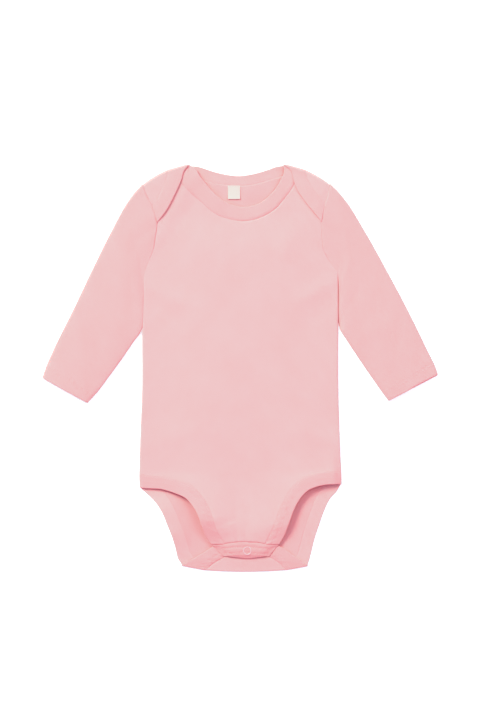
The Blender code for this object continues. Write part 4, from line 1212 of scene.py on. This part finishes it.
def neckBandLines(which):
    # from one lap's end over its fold, round the neck, over the other fold and down the other lap
    half = cloth["bandMiddle"]
    height = backLevel if which == "back" else frontLevel
    around = np.linspace(0.0, 1.0, neckBand["stations"])
    edge, seam = bandLayer(neckCurve(which, "edge"), neckCurve(which, "seam"), height, around)
    ends = []
    for side, index in ((left, 0), (right, -1)):
        down = np.linspace(0.0, 1.0, neckBand["lapStations"])
        lapEdge, lapSeam = bandLayer(*lapCurves(which, side), lambda plan: lapLevel(plan, which, side), down)
        near = half if which == "back" else level["shoulderFront"] + half
        turn = [
            turnedLine(line[index], foldNormal(side), near, lap[0, 2], neckBand["foldSteps"], taper)
            for line, lap, taper in ((edge, lapEdge, shape["foldTaper"]), (seam, lapSeam, 1.0))
        ]
        ends.append((np.concatenate([turn[0], lapEdge]), np.concatenate([turn[1], lapSeam])))
    wholeEdge = np.concatenate([ends[0][0][::-1], edge, ends[1][0]])
    wholeSeam = np.concatenate([ends[0][1][::-1], seam, ends[1][1]])
    return wholeEdge, wholeSeam


def makeNeckBand(which, name, node):
    # a ribbon along the whole of its line, the back's thinner where it runs out at the armholes
    edge, seam = neckBandLines(which)
    laps = neckBand["lapStations"] + neckBand["foldSteps"] - 1
    around = showing(seamShow[which + "Neck"], np.linspace(0.0, 1.0, neckBand["stations"]))
    down = [showing(seamShow["lap"][side], np.linspace(0.0, 1.0, laps)) for side in (left, right)]
    show = np.concatenate([down[0][::-1], around, down[1]])
    grid, thick, _ = ribbonGrid(edge, seam, -1.0 if which == "back" else 1.0, neckBand, show)
    if which == "back":
        for side in (left, right):
            thick = thick * (1 - shape["tipThinning"] * fromArmhole(grid[..., :2], side))
    piece = closedShell(name, grid, thick, binding)
    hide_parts(node)


makeNeckBand("back", "neckBandBack", "neck_band_back")
makeNeckBand("front", "neckBandFront", "neck_band_front")
print("neck bands made")

legBand = {
    "columns": 18,
    "stations": 130,
    "flapStations": 50,
    "foldSteps": 8,
    "stitchLines": [1.9, 6.6],
    "groove": 0.75,
    "press": 0.4,
    "pucker": 0.14,
    "puckerReach": 2.6,
    "wave": 7.5,
    "swell": 0.15,
    "seed": 2.1,
    "hipInset": 0.65,
    "hipInsetReach": 7.0,
    "hipRoll": (1.6, 0.6),  # radii from the hip where a band's end is flat and where it is rolled
    "hipCrowding": 0.5,
}


def hipRolled(edge, seam, side, facing):
    # near the hip both lines bend round the side seam: middle + facing radius sin(angle)
    radius, middle = level["front"] / 2, (level["front"] + wall["band"]) / 2
    flatFrom, rolledFrom = legBand["hipRoll"]
    rolled = []
    for line in (edge, seam):
        out = np.abs(line[:, 0] - line[0, 0])
        angle = np.arccos(np.clip(1 - out / radius, 0.0, 1.0))
        share = ease(out, radius * flatFrom, radius * rolledFrom)
        height = middle + facing * radius * np.sin(angle)
        bent = line.copy()
        bent[:, 2] += share * (height - line[:, 2])
        bent[:, 0] += side * legBand["hipInset"] * ease(out, legBand["hipInsetReach"], 0.0)
        rolled.append(bent)
    return rolled


def hipPlaces(count):
    # shares of a band's length, crowded near the hip: s - crowding s (1-s)^4
    share = np.linspace(0.0, 1.0, count)
    return share + legBand["hipCrowding"] * share * (share - 1) * (1 - share) ** 3


def makeFrontLegBand(side, word):
    # a ribbon from the hip to the placket, on the front's level
    edge, seam = bandLayer(*frontLegCurves(side), frontLevel, hipPlaces(legBand["stations"]))
    edge, seam = hipRolled(edge, seam, side, 1)
    show = showing(seamShow["frontLeg"][side], hipPlaces(legBand["stations"]))
    grid, thick, out = ribbonGrid(edge, seam, -side, dict(legBand, seed=legBand["seed"] + side), show)
    # its finish is the binding painted darker as shade
    piece = closedShell("legBandFront" + word, grid, thick, legBindingPaintedShade)
    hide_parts("leg_band_front_" + word.lower())
    bandStitches("stitchesLegFront" + word, grid, out, thick, legBand["stitchLines"])


def makeBackLegBand(side, word):
    # a ribbon from the hip to the crotch, round the fold and up the flap
    edge, seam = bandLayer(*backLegCurves(side), backLevel, hipPlaces(legBand["stations"]))
    edge, seam = hipRolled(edge, seam, side, -1)
    shares = np.linspace(0.0, 1.0, legBand["flapStations"])
    flapEdge, flapSeam = bandLayer(*flapCurves(side), flapLevel, shares)
    down = np.array((0.0, -1.0))
    turn = [
        turnedLine(line[-1], down, line[-1, 2], past[0, 2], legBand["foldSteps"])
        for line, past in ((edge, flapEdge), (seam, flapSeam))
    ]
    edge = np.concatenate([edge, turn[0], flapEdge])
    seam = np.concatenate([seam, turn[1], flapSeam])
    onBack = showing(seamShow["backLeg"], hipPlaces(legBand["stations"]))
    onFlap = showing(seamShow["flap"][side], np.linspace(0.0, 1.0, legBand["flapStations"]))
    show = np.concatenate([onBack, np.full(legBand["foldSteps"] - 1, onFlap[0]), onFlap])
    grid, thick, out = ribbonGrid(edge, seam, side, dict(legBand, seed=legBand["seed"] + 3 + side), show)
    # its outside is the binding painted darker as shade, its wrong side the body's knit
    piece = closedShell("legBandBack" + word, grid, thick, [legBindingPaintedShade[0], jersey[0]], wrong=-side)
    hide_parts("leg_band_back_" + word.lower())
    bandStitches("stitchesLegBack" + word, grid, out, thick, legBand["stitchLines"])


for side, word in ((left, "Left"), (right, "Right")):
    makeFrontLegBand(side, word)
    makeBackLegBand(side, word)
print("leg bands made")

placket = {
    "columns": 22,
    "stations": 100,
    "stitchLines": [(5.2, 11.4), (11.4, 16.3)],  # from its seam in the middle, at its ends
    "endThinning": 0.9,
    "thinFrom": (0.4, 1.0),
    "endShare": 0.16,  # of its length, where the stitch lines bend to their ends
    "topClear": 0.2,
    "sink": 0.1,
    "groove": 1.15,
    "press": 0.85,
    "pucker": 0.11,
    "puckerReach": 2.4,
    "wave": 6.5,
    "swell": 0.25,
    "seed": 4.4,
    "dents": [  # x, y, half width and depth of the pressed spots round the stitching
        (-22.8, -191.9, 1.3, 0.3),
        (-20.4, -196.8, 1.2, 0.3),
        (-18.0, -192.8, 1.1, 0.25),
        (-14.7, -194.0, 1.2, 0.3),
        (-10.7, -189.2, 1.2, 0.2),
        (-9.1, -196.0, 1.2, 0.3),
        (-0.3, -196.0, 1.2, 0.25),
    ],
}
hiddenPlacket = dict(placket, stitchLines=[4.5], pucker=0.1, swell=0.0)


def makePlacketFront():
    # a ribbon from its bottom, which sags by sag exp(-(dx/width)^2) below the snap, to its top, which rises
    # by 4 rise t (1-t), laid on the front's level less its dips
    curves = [frontLegCurves(side) for side in (left, right)]
    ends = np.array([curves[0][0][-1], curves[0][1][-1], curves[1][1][-1], curves[1][0][-1]])
    share = np.linspace(0.0, 1.0, placket["stations"])
    x = ends[0, 0] + share * (ends[-1, 0] - ends[0, 0])
    t = np.clip((x - ends[1, 0]) / (ends[2, 0] - ends[1, 0]), 0.0, 1.0)
    rise = 4 * shape["placketTopRise"] * t * (1 - t)
    top = np.column_stack([x, ends[0, 1] + rise + placket["topClear"]])
    start, end = (sideOf("placketBottom", side)[0] for side in (left, right))
    bottom = start + share[:, None] * (end - start)
    sag = np.exp(-(((bottom[:, 0] - snap["at"][0]) / shape["placketSagWidth"]) ** 2))
    bottom[:, 1] -= shape["placketSag"] * sag
    half = wall["band"] / 2 - placket["sink"]
    near = ease(np.minimum(share, 1 - share), placket["endShare"], 0.0)
    stitchLines = [middle + (last - middle) * near for middle, last in placket["stitchLines"]]
    edge, seam = (np.column_stack([line, np.full(len(line), half)]) for line in (bottom, top))
    spec = dict(placket, stitchLines=[line[:, None] for line in stitchLines])
    grid, thick, out = ribbonGrid(edge, seam, -1.0, spec, showing(seamShow["placket"], share))
    slanted = placketEnds(grid[..., :2])
    below = placketDip["below"] * ease(grid[..., 1], *ramp["belowSnap"])
    dip = np.maximum(placketDip["ends"] * slanted - below, 0.0)
    grid[..., 2] += frontLevel(grid[..., :2]) - dip
    thick = thick * (1 - placket["endThinning"] * ease(slanted, *placket["thinFrom"]))
    for x, y, width, depth in placket["dents"]:
        distance = np.linalg.norm(grid[..., :2] - (x, y), axis=-1)
        grid[..., 2] -= depth * np.exp(-((distance / width) ** 2))
    # its finish is the binding painted darker as shade
    piece = closedShell("placketFront", grid, thick, placketBindingPaintedShade)
    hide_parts("placket_front")
    bandStitches("stitchesPlacket", grid, out, thick, stitchLines)


def makePlacketBack():
    # a level ribbon across the end of the flap
    edges, seams = ([flapCurves(side)[k][-1] for side in (left, right)] for k in (0, 1))
    share = np.linspace(0.0, 1.0, placket["stations"])[:, None]
    top, bottom = (ends[0] + share * (ends[1] - ends[0]) for ends in (edges, seams))
    height = level["crotchFlap"] + cloth["bandMiddle"]
    top, bottom = (np.column_stack([line, np.full(len(line), height)]) for line in (top, bottom))
    grid, thick, _ = ribbonGrid(top, bottom, 1.0, hiddenPlacket, 1.0)
    # its finish is the binding painted darker as shade
    piece = closedShell("placketBack", grid, thick, placketBindingPaintedShade)
    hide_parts("placket_back")


makePlacketFront()
makePlacketBack()


def aroundSnap(reach, height, around):
    # the points at these distances from the snap's axis and at these heights, for each angle round it
    x = snap["at"][0] + reach * np.cos(around)
    y = snap["at"][1] + reach * np.sin(around)
    return np.stack([x, y, np.broadcast_to(height, x.shape)], axis=-1)


def closedRings(grid):
    # the faces of a tube whose rows and columns both close on themselves
    rows, columns = grid.shape[:2]
    index = np.arange(rows * columns).reshape(rows, columns)
    down, over = np.roll(index, -1, axis=0), np.roll(index, -1, axis=1)
    return np.stack([index, down, np.roll(down, -1, axis=1), over], axis=-1).reshape(-1, 4)


def makeSnapRing(aroundCount=96, aboutCount=20):
    # a ring of wire, flattened, with a shallow notch at each prong
    around = np.linspace(0.0, 2 * np.pi, aroundCount, endpoint=False)[:, None]
    about = np.linspace(0.0, 2 * np.pi, aboutCount, endpoint=False)
    depth, power = snap["notch"]
    notch = 1 - depth * np.maximum(np.cos(snap["prongs"] * around), 0.0) ** power
    reach = snap["ring"] + snap["wire"] * notch * np.cos(about)
    height = snap["bottom"] + snap["flat"] * snap["wire"] * (1 + notch * np.sin(about))
    grid = aroundSnap(reach, height, around)
    piece = meshPiece("snapRing", grid.reshape(-1, 3) * mm, closedRings(grid), [enamel])
    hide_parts("snap_ring")


def turnedPiece(name, profile, material, count=48):
    # a profile of radius and height turned round the snap's axis, its first and last points on the axis
    radius, height = np.array(profile, float).T
    around = np.linspace(0.0, 2 * np.pi, count, endpoint=False)
    ring = aroundSnap(radius[1:-1, None], height[1:-1, None], around).reshape(-1, 3)
    poles = np.array([(*snap["at"], height[0]), (*snap["at"], height[-1])])
    index = np.arange(len(ring)).reshape(-1, count)
    over = np.roll(index, -1, axis=1)
    walls = np.stack([index[:-1], over[:-1], over[1:], index[1:]], axis=-1).reshape(-1, 4).tolist()
    low = np.stack([np.full(count, len(ring)), over[0], index[0]], axis=-1).tolist()
    high = np.stack([np.full(count, len(ring) + 1), index[-1], over[-1]], axis=-1).tolist()
    return meshPiece(name, np.concatenate([ring, poles]) * mm, walls + low + high, [material])


def makeSnapPair():
    # stud and socket closed together: a disc with rounded rims and a groove between them
    r, low, high = snap["pair"]
    profile = [
        (0.0, low),
        (r - 0.5, low),
        (r - 0.1, low + 0.15),
        (r, low + 0.35),
        (r - 0.3, low + 0.5),
        (r, high - 0.35),
        (r - 0.1, high - 0.15),
        (r - 0.5, high),
        (0.0, high),
    ]
    piece = turnedPiece("snapStudAndSocket", profile, enamel)
    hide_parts("snap_stud_and_socket")


makeSnapRing()
makeSnapPair()
print("plackets and snap made")

sleeve = {
    "across": 52,
    "fold": 9,
    "along": 124,
    "hem": 13.0,
    "turn": 0.5,  # radius of the fold at the cuff
    "turnAngles": (30.0, 60.0, 90.0, 120.0, 150.0),
    "stitchLines": [9.4, 12.4],
    "head": 0.28,  # share of its length on which it comes down from the shoulder
    "seamLap": 0.5,
    "cuffBack": {left: 0.0, right: 0.9},  # how far the cuff's outer half is pulled back
    "cuffShare": (0.4, 0.55),
    "cuffReach": 14.0,
    "seamSink": 0.2,  # how far its first ring sinks where the seam shows, and rises where it doesn't
    "seamRise": 0.03,
    "seamReach": 1.5,
    "seamWave": 10.0,
    "topFrom": (1.2, 2.6),  # heights between the underside and the top, where relief begins
    "girth": 90.0,  # mm that the way round one face stands for in the puckers
    "groove": {"depth": 0.1, "reach": 0.8, "pucker": 0.05, "puckerReach": 3.0, "wave": 6.0},
    "creaseSpan": (75.0, 220.0),  # mm that the creases' shares stand for
    "swellShares": (0.05, 0.3),
    "swellPower": 0.6,
    "cuffOpen": (0.8, 0.97),
    "scoopEnds": 0.094,  # share of its length on which the armhole's curve straightens
    "scoopPlaces": 120,
    "measured": 20,  # column whose length places the hem's stitches
    "flat": (0.19, 0.235),
    "area": 0.028,
}


def armholeHeight(flat, armhole, places):
    # how much higher the sleeve's top starts, to meet the front and then the lap
    height = np.interp(flat, places, armhole[:, 1])
    toFront = (level["shoulderFront"] - level["front"]) * ease(height, *ramp["shoulder"])
    toLap = level["shoulderLap"] - shape["armholeDrop"] - level["shoulderFront"]
    return toFront + toLap * ease(height, *ramp["lap"])


def sleeveGrid(side):
    # rings from armhole to cuff: across the top, round the outer fold, back below, round the inner fold
    v = np.linspace(0.0, 1.0, sleeve["along"])
    inner, outer = curveThrough(sideOf("sleeveInner", side), v), curveThrough(sideOf("sleeveOuter", side), v)
    places = np.linspace(0.0, 1.0, sleeve["scoopPlaces"])
    armhole = sideOf("armhole", side)
    armhole[0], armhole[-1] = inner[0], outer[0]
    armhole = curveThrough(armhole, places)
    scoop = armhole - (inner[0] + places[:, None] * (outer[0] - inner[0]))
    scooped = np.clip(1 - v / sleeve["scoopEnds"], 0.0, 1.0)[:, None, None]
    half = wall["jersey"] / 2
    flat = np.linspace(0.0, 1.0, sleeve["across"])
    near = 1 - ease(v, 0.0, sleeve["head"])[:, None]
    high = armholeHeight(flat, armhole, places) * near
    width = np.linalg.norm(outer - inner, axis=1)[:, None]
    swell = loft["sleeve"] * ease(v, *sleeve["swellShares"])[:, None]
    swell = swell * np.sin(np.pi * flat) ** sleeve["swellPower"]
    opened = loft["cuff"] * ease(v, *sleeve["cuffOpen"])[:, None]
    beside = loft["tuck"][side] * ease(inner[:, 1], *ramp["tuckFoot"]) * ease(inner[:, 1], *ramp["tuckTop"])
    innerRadius = (level["front"] + high[:, :1] + opened - beside[:, None]) / 2
    outerRadius = (level["front"] + high[:, -1:] + opened) / 2
    first, last = (half + innerRadius) / width, (half + outerRadius) / width
    onTop = first + flat * (1 - first - last)
    bend = np.pi * np.arange(1, sleeve["fold"]) / sleeve["fold"]
    share = np.hstack([
        onTop,
        1 - last + np.sin(bend) * outerRadius / width,
        onTop[:, ::-1],
        first - np.sin(bend) * innerRadius / width,
    ])
    sunk = beside[:, None] * np.exp(-(((onTop - first) * width / loft["tuckReach"]) ** 2))
    height = np.hstack([
        level["front"] + high + half + swell + opened - sunk,
        half + outerRadius * (1 + np.cos(bend)),
        np.full_like(onTop, half),
        half + innerRadius * (1 - np.cos(bend)),
    ])
    plan = inner[:, None] + share[..., None] * (outer - inner)[:, None]
    bent = np.stack([np.interp(share, places, scoop[:, k]) for k in (0, 1)], axis=-1)
    plan = plan + scooped * bent
    return withHeight(plan, height), share, v


def hemmed(grid, out):
    # the cuff's cloth turns inside round a small half circle and runs back up as the hem
    ahead = unit(grid[-1] - grid[-2])
    angle = np.radians(sleeve["turnAngles"])[:, None, None]
    turn = sleeve["turn"]
    rim = grid[-1] + ahead * turn * np.sin(angle) - out[-1] * turn * (1 - np.cos(angle))
    spacing = np.linalg.norm(grid[-1] - grid[-2], axis=-1).mean()
    count = int(sleeve["hem"] / spacing) + 1
    back = (grid[-count:] - 2 * turn * out[-count:])[::-1]
    return np.concatenate([grid, rim, back])


def makeSleeve(side, word):
    # the tube moved along its normals by creases less the press of the armhole's seam and the hem's stitches
    grid, share, v = sleeveGrid(side)
    out = normals(grid, True) * side
    fromCuff = lengthAlong(grid[::-1])[::-1]
    fromSeam = lengthAlong(grid)
    top = ease(grid[..., 2], *sleeve["topFrom"])
    around = share * sleeve["girth"]
    show = showing(seamShow["armhole"][side], share)
    press = panelSeam["press"] * show * np.exp(-((fromSeam / sleeve["seamReach"]) ** 2)) * top
    pucker = panelSeam["pucker"] * show * np.exp(-fromSeam / panelSeam["puckerReach"])
    press -= pucker * ripple(around, sleeve["seamWave"], 1.5 + side) * top
    groove = sleeve["groove"]
    for k, line in enumerate(sleeve["stitchLines"]):
        dent = groove["depth"] * np.exp(-(((fromCuff - line) / groove["reach"]) ** 2))
        press += dent * np.clip(grid[..., 2], 0.0, 1.0)
        pucker = groove["pucker"] * np.exp(-(((fromCuff - line) / groove["puckerReach"]) ** 2))
        press -= pucker * ripple(around, groove["wave"], k + side) * top
    wide, long = sleeve["creaseSpan"]
    plan = np.stack([share * wide, v[:, None] * long + 0 * share], axis=-1)
    table = np.array(sleeveCreases[side]) * (wide, long, wide, long, 1, 1)
    lift = creased(plan, table) * ease(grid[..., 2], *shape["creaseHeight"]) - press
    grid = grid + out * lift[..., None]
    sink = sleeve["seamSink"] * show[0] - sleeve["seamRise"]
    grid[0] -= sleeve["seamLap"] * unit(grid[1] - grid[0]) + sink[:, None] * out[0]
    ahead = unit(grid[-1, :, :2] - grid[-2, :, :2])
    outerHalf = ease(share, *sleeve["cuffShare"])
    back = sleeve["cuffBack"][side] * top * outerHalf * ease(fromCuff, sleeve["cuffReach"], 0.0)
    grid[..., :2] -= back[..., None] * ahead
    out = normals(grid, True) * side
    whole = hemmed(grid, out)
    # its outside wears the sleeve knit painted darker as shade
    piece = closedShell("sleeve" + word, whole, cloth["jersey"], sleeveJerseyPaintedShade, wraps=True, wrong=-side)
    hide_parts("sleeve_" + word.lower())
    lines = []
    ring = fromCuff[:, sleeve["measured"]]
    for line in sleeve["stitchLines"]:
        row = np.abs(ring - line).argmin()
        surface = grid[row] + out[row] * cloth["jersey"] / 2
        lines.append([np.concatenate([values, values[:1]]) for values in (surface, out[row])])
    stitchRows("stitchesCuff" + word, lines)


for side, word in ((left, "Left"), (right, "Right")):
    makeSleeve(side, word)
print("sleeves made")

label = {
    "x": (-12.7, 0.4),
    "y": (176.2, 190.5),
    "thickness": 0.45,
    "height": 1.45,
    "curl": 0.5,
    "bow": 0.12,
    "columns": 22,
    "rows": 24,
    "stitchInset": (0.8, 1.0),
    "stitchPoints": 20,
}


def makeLabel():
    # a flat tape, its free end lifted by curl t^2 and bowed a little across
    a, b = np.meshgrid(np.linspace(0.0, 1.0, label["columns"]), np.linspace(0.0, 1.0, label["rows"]))
    x = label["x"][0] + a * (label["x"][1] - label["x"][0])
    y = label["y"][0] + b * (label["y"][1] - label["y"][0])
    z = label["height"] + label["curl"] * (1 - b) ** 2 + label["bow"] * np.sin(np.pi * a)
    piece = closedShell("neckLabel", np.stack([x, y, z], axis=-1), label["thickness"], tape)
    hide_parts("label")
    beside, below = label["stitchInset"]
    count, top = label["stitchPoints"], label["height"] + label["thickness"] / 2
    ends = [(x, label["y"][1] - below, top) for x in (label["x"][0] + beside, label["x"][1] - beside)]
    up = np.tile((0.0, 0.0, 1.0), (count, 1))
    stitchRows("stitchesLabel", [(evenly(np.array(ends), count), up)])


makeLabel()
print("label made")

stage = {
    "floor": 24.0,  # metres across
    "white": (0.93, 0.93, 0.93),
    "roughness": 0.9,
    "glow": 0.45,
    "world": 0.532,
    "sky": (1.0, 0.74, 1.03),
}
# lamps: place and size in metres, power in watts
key = {"at": (-3.1, 3.45, 4.1), "size": 2.6, "power": 392.0, "tint": (1.0, 1.0, 0.83)}
fill = {"at": (3.4, 2.4, 4.4), "size": 3.8, "power": 115.0, "tint": (1.0, 1.0, 0.88)}
# inner points of the tone curve
redCurve = [(0.395, 0.635), (0.55, 0.785), (0.6, 0.83), (0.675, 0.863), (0.85, 0.871), (0.95, 0.884)]
# the frame's height and the aim in metres, lens and sensor in mm
view = {"frameHeight": 0.756, "lens": 100.0, "sensor": 36.0, "aimY": 0.00735, "aimZ": 0.003}


def areaLight(name, spec):
    # a round lamp that faces the middle of the floor
    data = bpy.data.lights.new(name, "AREA")
    data.shape = "DISK"
    data.size = spec["size"]
    data.energy = spec["power"]
    data.color = spec["tint"]
    lamp = bpy.data.objects.new(name, data)
    lamp.location = spec["at"]
    x, y, z = spec["at"]
    lamp.rotation_euler = (np.arctan2(np.hypot(x, y), z), 0.0, np.arctan2(-y, -x) - np.pi / 2)
    bpy.context.scene.collection.objects.link(lamp)


def toning():
    # a tone curve on red alone: raised in the middle and nearly level in the lights
    settings = bpy.context.scene.view_settings
    settings.view_transform = "Standard"
    settings.use_curve_mapping = True
    red = settings.curve_mapping.curves[0]
    for place in redCurve:
        red.points.new(*place)
    settings.curve_mapping.update()


def makeStage():
    # a pale floor, a tinted sky, two lamps and a camera straight above
    half = stage["floor"] / 2
    floor = bpy.data.meshes.new("floor")
    corners = [(-half, -half, 0), (half, -half, 0), (half, half, 0), (-half, half, 0)]
    floor.from_pydata(corners, [], [(0, 1, 2, 3)])
    white = Finish("paleFloor", stage["white"], stage["roughness"])
    white.shader.inputs["Emission Color"].default_value = (1.0, 1.0, 1.0, 1.0)
    white.shader.inputs["Emission Strength"].default_value = stage["glow"]
    floor.materials.append(white.material)
    ground = bpy.data.objects.new("floor", floor)
    bpy.context.scene.collection.objects.link(ground)
    world = bpy.data.worlds.new("studio")
    world.use_nodes = True
    world.node_tree.nodes["Background"].inputs["Color"].default_value = (*stage["sky"], 1.0)
    world.node_tree.nodes["Background"].inputs["Strength"].default_value = stage["world"]
    bpy.context.scene.world = world
    toning()
    areaLight("key", key)
    areaLight("fill", fill)
    data = bpy.data.cameras.new("camera")
    data.lens, data.sensor_width = view["lens"], view["sensor"]
    camera = bpy.data.objects.new("camera", data)
    distance = view["frameHeight"] * view["lens"] / view["sensor"]
    camera.location = (0.0, view["aimY"], view["aimZ"] + distance)
    bpy.context.scene.collection.objects.link(camera)
    bpy.context.scene.camera = camera


makeStage()
print("stage made")
